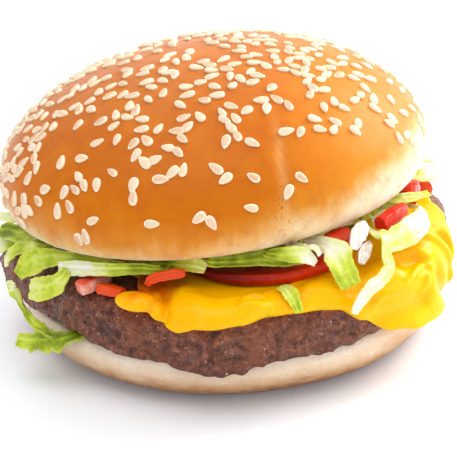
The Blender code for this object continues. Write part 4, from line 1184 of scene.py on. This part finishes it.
def smooth_route(points, steps):
    """steps + 1 points, evenly shared over a smooth curve through these. All may carry a width."""
    p = [Vector(q) for q in points]
    p = [2 * p[0] - p[1], *p, 2 * p[-1] - p[-2]]
    route = []
    for k in range(steps + 1):
        at = k / steps * (len(p) - 3)
        i = min(int(at), len(p) - 4)
        t = at - i
        a, b, c, d = p[i : i + 4]
        route.append(0.5 * (
            2 * b + (c - a) * t + (2 * a - 5 * b + 4 * c - d) * t * t
            + (3 * b - a - 3 * c + d) * t**3
        ))
    return route


def ribbon(route, faces_at, thickness, across, curl=0.0, ruffle=0.0, phase=0.0, frill=0.0,
           ragged=0.1, pleats=0.0):
    """A thin wavy strip, whose route's points carry its width, as (points, faces, marks).

    faces_at gives the way its upper face looks, for a share of its length. curl, ruffle, frill
    and ragged are shares of the width there, and pleats is in mm. edge is 1 at its sides.
    """
    steps = len(route) - 1
    upper, lower, edge = [], [], []
    for i, centre in enumerate(route):
        share = i / steps
        ahead = (route[min(i + 1, steps)] - route[max(i - 1, 0)]).xyz.normalized()
        side = ahead.cross(faces_at(share)).normalized()
        face = side.cross(ahead)
        half = 0.5 * centre.w
        run = centre.xyz
        tears = [
            1 + ragged * (noise.noise(run / 2.2 + Vector((0, 0, 9 * hand + phase)))
                          + 0.7 * noise.noise(run / 0.8 + Vector((0, 5 * hand, phase))))
            for hand in (-1, 1)
        ]
        for j in range(across + 1):
            v = 2 * j / across - 1
            lift = half * (curl * v * v + ruffle * v * math.sin(4.4 * math.pi * share + phase))
            lift += half * frill * v * abs(v) * math.sin(
                11 * math.pi * share + 2 * phase + 5 * noise.noise(run / 4))
            lift += 0.14 * noise.noise(Vector((centre.x, centre.y, 5 * v)) / 1.3)
            lift += pleats * math.sin(2.5 * math.pi * v + 1.5 * noise.noise(run / 5) + phase)
            point = run + side * (half * v * tears[v > 0]) + face * lift
            thin = thickness / 2 * (1 - 0.55 * abs(v) ** 3)
            upper.append(point + face * thin)
            lower.append(point - face * thin)
            edge.append(between(abs(v), 0.72, 1.0))
    row, count = across + 1, len(upper)
    faces = []
    for i in range(steps):
        for j in range(across):
            a, b = i * row + j, i * row + j + 1
            c, d = b + row, a + row
            faces += [(a, b, c), (a, c, d)]
            faces += [(count + c, count + b, count + a), (count + d, count + c, count + a)]
    rim = [*range(across), *(i * row + across for i in range(steps))]
    rim += [*(steps * row + across - j for j in range(across)), *((steps - i) * row for i in range(steps))]
    for a, b in zip(rim, rim[1:] + rim[:1]):
        faces += [(b, a, count + a), (b, count + a, count + b)]
    return upper + lower, faces, {"edge": edge + edge}


# Lettuce.


def crown_underside(x):
    slope = -math.tan(CROWN_TILT)
    return CROWN_CENTRE.z - CROWN_BELOW_WIDEST + slope * (x - CROWN_CENTRE.x)


def bed_normal():
    return Vector((math.sin(CROWN_TILT), 0, math.cos(CROWN_TILT)))


def left_share(azimuth):
    """1 at the left, 0 at the right and a half at the front and back."""
    return 0.5 - 0.5 * math.sin(math.radians(azimuth))


def painted(shape, pale_root, pale_tip, steps, across):
    """The ribbon with how pale it is from its root to its tip, and paler along a middle rib."""
    points, faces, marks = shape
    pale = []
    for _ in range(2):
        for i in range(steps + 1):
            base = pale_root + (pale_tip - pale_root) * between(i / steps, 0.45, 0.95)
            for j in range(across + 1):
                v = 2 * j / across - 1
                pale.append(base + 0.16 * math.exp(-((v - 0.2) / 0.18) ** 2))
    return points, faces, {**marks, "pale": pale}


def shred_shape(azimuth, height, look, pales, points, across=14):
    """A shred from inside the bed out through these points."""
    roots = [(*place(radius, azimuth, height), points[0][3]) for radius in SHRED_ROOTS]
    steps = 16 * len(points) + 12
    turned = Vector(look).normalized()

    def faces_at(share):
        """Level like the bed at its root, and turned from the second point on."""
        return bed_normal().lerp(turned, clamped(share * (len(points) + 1) - 1.2)).normalized()

    route = smooth_route([*roots, *points], steps)
    shape = ribbon(route, faces_at, LEAF_THICKNESS, across, phase=azimuth, **SHRED_WAVES)
    return painted(shape, *pales, steps, across)


def rim_shreds():
    """Shreds that stick out round the sides and back, drawn in order from one random state."""
    draw = np.random.RandomState(RIM_RANDOM_STATE)
    found = []
    for k in range(RIM_SHREDS):
        azimuth = RIM_SHREDS_FROM + (RIM_SHREDS_TO - RIM_SHREDS_FROM) * (k + 0.5) / RIM_SHREDS
        azimuth += draw.uniform(-RIM_STRAY, RIM_STRAY)
        swing, reach = draw.uniform(-RIM_SWING, RIM_SWING), draw.uniform(*RIM_REACH)
        width, drop = draw.uniform(*RIM_WIDTH), draw.uniform(*RIM_DROP)
        out = place(RIM_START, azimuth + 0.4 * swing, 0)
        out.z = crown_underside(out.x) - draw.uniform(*RIM_START_DROP)
        tip = place(reach, azimuth + swing, out.z - drop)
        tip.z = max(tip.z, RIM_TIP_LOWEST)
        bend = out.lerp(tip, 0.55) + Vector((0, 0, 0.25 * drop))
        look = place(0.5, azimuth + draw.uniform(-60, 60), 1)
        points = tuple((*point, share * width) for point, share in ((out, 0.9), (bend, 1), (tip, 0.6)))
        root = place(SHRED_ROOTS[1], azimuth, 0)
        height = min(out.z, 0.5 * (crown_underside(root.x) - GAP + BED_UNDERSIDE))
        pales = RIM_PALE_ROOTS[k % 3], RIM_PALE_TIPS[k % 4]
        found.append((azimuth, max(height, BED_UNDERSIDE + 0.3), look, pales, points))
    return found


def bit_shape(steps=24, across=10):
    """The lettuce bit, which looks up where it starts and forward at its end."""
    points = []
    for azimuth, along, width in LETTUCE_BIT:
        lift = cheese_lift(azimuth, along, 1) + LETTUCE_BIT_LIFT
        points.append((*over_patty(azimuth, along, lift), width))

    def faces_at(share):
        return Vector((0.2, -0.35 - 0.65 * share, 0.9 - 0.7 * share))

    shape = ribbon(smooth_route(points, steps), faces_at, LEAF_THICKNESS, across, **BIT_WAVES)
    return painted(shape, *LETTUCE_BIT_PALES, steps, across)


def packed_shreds(across=6, steps=14):
    """Short curved shreds round the bed's rim, at every height between slices and crown."""
    draw = np.random.RandomState(PACKED_RANDOM_STATE)
    shapes = []
    for _ in range(PACKED_SHREDS):
        azimuth, luck = draw.uniform(-180, 180), draw.uniform()
        radius = BED_RADIUS + 2.4 + (BED_LEFT_RADIUS - BED_RADIUS) * left_share(azimuth) * 0.6
        radius += draw.uniform(*PACKED_STRAY)
        spot = place(radius, azimuth, 0)
        low, high = BED_UNDERSIDE + 0.2, crown_underside(spot.x) - 0.7
        width = draw.uniform(*PACKED_WIDTH)
        spot.z = low + (high - low) * luck
        length, lean, slope = draw.uniform(*PACKED_LENGTH), draw.uniform(-35, 35), draw.uniform(-0.12, 0.12)
        route = []
        for k in range(4):
            t = k / 3 - 0.5
            step = place(radius + 1.4 * math.sin(math.radians(lean)) * t * 4,
                         azimuth + math.degrees(t * length / radius), 0)
            step.z = min(high - 0.1, max(low, spot.z + slope * t * length))
            route.append((*step, width * (1 - 1.6 * t * t)))
        look = (place(1, azimuth, 0) + Vector((0, 0, draw.uniform(-0.2, 1.2)))).normalized()
        shape = ribbon(
            smooth_route(route, steps), lambda share, look=look: look, LEAF_THICKNESS, across,
            curl=draw.uniform(-0.25, 0.3), phase=azimuth, **PACKED_WAVES,
        )
        pale = draw.choice(PACKED_PALES)
        shapes.append(painted(shape, pale, pale + draw.uniform(-0.2, 0.2), steps, across))
    return shapes


def bed_shape(count=180):
    """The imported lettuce's core, crumpled all over, thin at the left under the tilted crown."""
    rings, pale = [], []
    sides = [(1.0 - 0.04 * (2 * t - 1) ** 4, t) for t in [k / 10 for k in range(11)]]
    for share, t in [(0.55, 0.0), (0.8, 0.0), *sides, (0.8, 1.0), (0.55, 1.0)]:
        ring = []
        for azimuth in azimuths(count):
            radius = share * (BED_RADIUS + (BED_LEFT_RADIUS - BED_RADIUS) * left_share(azimuth))
            spot = place(radius, azimuth, 0)
            high = crown_underside(spot.x) - GAP
            spot.z = high + (BED_UNDERSIDE - high) * t
            crumple = unevenness((spot.x, spot.y, 2.5 * spot.z), *BED_CRUMPLE) * (share > 0.9)
            ring.append(place(radius + crumple, azimuth, spot.z))
            pale.append(0.1 + 0.3 * noise.noise(spot / 4))
        rings.append(ring)
    return ringed(rings, pale=pale, edge=[0.0] * len(pale))


# The whole.


def make_bun():
    make("heel", heel_shape(), crumb_material(), ["bun_heel"])
    make("crown", crown_shape(), crust_material(), ["bun_crown"])
    look = np.random.RandomState(SEED_RANDOM_STATE + 1)
    seeds = joined([seed_shape(*seed_at, look) for seed_at in seed_places()])
    make("seeds", seeds, seed_material(), ["bun_crown"])


def make_fillings():
    make("beef", patty_shape(), meat_material(), ["patty"])
    lobes = [lobe_shape(*lobe) for lobe in CHEESE_LOBES]
    folds = [fold_shape(*fold) for fold in CHEESE_FOLD_LINES]
    skin = melted(joined([cheese_shape(), *lobes, *folds]))
    make("melted_cheese", skin, cheese_material(), ["cheese"])
    tomato, onion = tomato_material(), onion_material()
    for side in SLICE_AZIMUTHS:
        make(f"slice_{side}", slice_shape(side), tomato, [f"tomato_slice_{side}"])
    for name, sizes in TOMATO_WEDGES.items():
        piece = name.replace("tomato", "chopped")
        make(piece, wedge_shape(*sizes), tomato, [name], WEDGE_SHARP_FROM)
    points, faces, _ = ribbon(
        smooth_route(TOMATO_STRIP, 30), lambda share: Vector((-0.2, -0.9, 0.3)),
        TOMATO_STRIP_THICKNESS, 10, **STRIP_WAVES,
    )
    ripe = {"pale": [0.08] * len(points), "orange": [0.7] * len(points)}
    make("strip", (points, faces, ripe), tomato, ["tomato_strip"])
    for name, route in ONION_SLIVERS.items():
        points, faces, marks = ribbon(
            smooth_route(route, 40), lambda share: Vector((0.5, -0.8, 0.4)), ONION_THICKNESS, 14,
            **ONION_WAVES,
        )
        blush = {"blush": [0.6 * value for value in marks["edge"]]}
        make(name.replace("onion_", ""), (points, faces, blush), onion, [name])


def lower_leaf(across=12):
    """The leaf under the patty and the strip that rises from it, each level where it starts."""
    shapes = []
    for k, (look, pales, points) in enumerate(LOWER_LEAF):
        turned = Vector(look).normalized()
        steps = 16 * len(points)
        shape = ribbon(
            smooth_route(points, steps),
            lambda share, turned=turned: Vector((0, 0, 1)).lerp(turned, clamped(6 * share - 1)),
            LEAF_THICKNESS, across, phase=k, **LOWER_LEAF_WAVES,
        )
        shapes.append(painted(shape, *pales, steps, across))
    return joined(shapes)


def make_lettuce():
    leaf = leaf_material()
    shreds = joined([shred_shape(*shred) for shred in (*SHREDS, *rim_shreds())])
    for name, shape, node in (
        ("lettuce_bed", bed_shape(), "lettuce"),
        ("lettuce_shreds", shreds, "lettuce"),
        ("lettuce_packed", joined(packed_shreds()), "lettuce"),
        ("bit", bit_shape(), "lettuce_bit"),
        ("lettuce_leaf", lower_leaf(), "lettuce_lower"),
    ):
        make(name, shape, leaf, [node])


def area_light(name, spot, size, watts, colour):
    """A square area light at that place in mm, turned to LIGHT_AIM."""
    data = bpy.data.lights.new(name, "AREA")
    data.size = size * TO_METRES
    data.energy = watts
    data.color = colour
    light = bpy.data.objects.new(name, data)
    light.location = Vector(spot) * TO_METRES
    light.rotation_euler = (LIGHT_AIM - Vector(spot)).to_track_quat("-Z", "Y").to_euler()
    bpy.context.scene.collection.objects.link(light)


def make_stage():
    """A white floor that glows a little as painted light, under white studio light, strongest from the
    right and behind.
    """
    corners = [(x * FLOOR_REACH, y * FLOOR_REACH, 0) for x, y in ((-1, -1), (1, -1), (1, 1), (-1, 1))]
    floor = new_object("floor", corners, [(0, 1, 2, 3)])
    paint = Paint(
        "floor", 0.55, Base_Color=(*FLOOR_COLOUR, 1), Emission_Color=(*FLOOR_GLOW_COLOUR, 1),
        Emission_Strength=FLOOR_GLOW,
    )
    floor.data.materials.append(paint.material)
    world = bpy.data.worlds.new("studio")
    bpy.context.scene.world = world
    world.use_nodes = True
    nodes = Nodes(world.node_tree)
    sky = nodes.tree.nodes["Background"]
    towards = nodes.add("TexCoord").outputs["Generated"]
    ahead = nodes.add("VectorMath", {0: towards, 1: BRIGHT_SIDE}, operation="DOT_PRODUCT").outputs["Value"]
    strength = nodes.spread(ahead, -0.7, 0.9, SKY_DIMMEST, SKY_BRIGHTEST)
    colour = nodes.mixed(nodes.spread(ahead, -0.6, 0.6), SKY_COOL, SKY_WARM)
    nodes.tree.links.new(strength, sky.inputs["Strength"])
    nodes.tree.links.new(colour, sky.inputs["Color"])
    for light in LIGHTS:
        area_light(*light)


def make_camera():
    """The photographer's camera: in front, a little above and slightly rolled."""
    elevation, roll = math.radians(CAMERA_ELEVATION), math.radians(CAMERA_ROLL)
    back = Vector((0, -math.cos(elevation), math.sin(elevation)))
    level = Vector((1, 0, 0))
    upright = level.cross(-back)
    right = level * math.cos(roll) + upright * math.sin(roll)
    up = upright * math.cos(roll) - level * math.sin(roll)
    data = bpy.data.cameras.new("camera")
    data.sensor_width = SENSOR_WIDTH
    data.lens = FOCAL_PIXELS / FRAME_PIXELS * SENSOR_WIDTH
    data.clip_start = NEAREST_SEEN * TO_METRES
    camera = bpy.data.objects.new("camera", data)
    placed = Matrix((right, up, back)).transposed().to_4x4()
    placed.translation = (CAMERA_AIM + back * CAMERA_DISTANCE) * TO_METRES
    camera.matrix_world = placed
    bpy.context.scene.collection.objects.link(camera)
    bpy.context.scene.camera = camera


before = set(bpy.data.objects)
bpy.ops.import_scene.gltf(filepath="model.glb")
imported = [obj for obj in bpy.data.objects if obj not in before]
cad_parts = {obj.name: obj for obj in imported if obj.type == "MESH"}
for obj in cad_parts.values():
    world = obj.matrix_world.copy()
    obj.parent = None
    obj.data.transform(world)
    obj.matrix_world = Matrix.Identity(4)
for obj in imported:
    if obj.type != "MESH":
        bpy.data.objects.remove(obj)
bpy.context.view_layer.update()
make_camera()
make_stage()
make_bun()
make_fillings()
make_lettuce()
bpy.context.scene.view_settings.view_transform = "Standard"
bpy.context.view_layer.update()
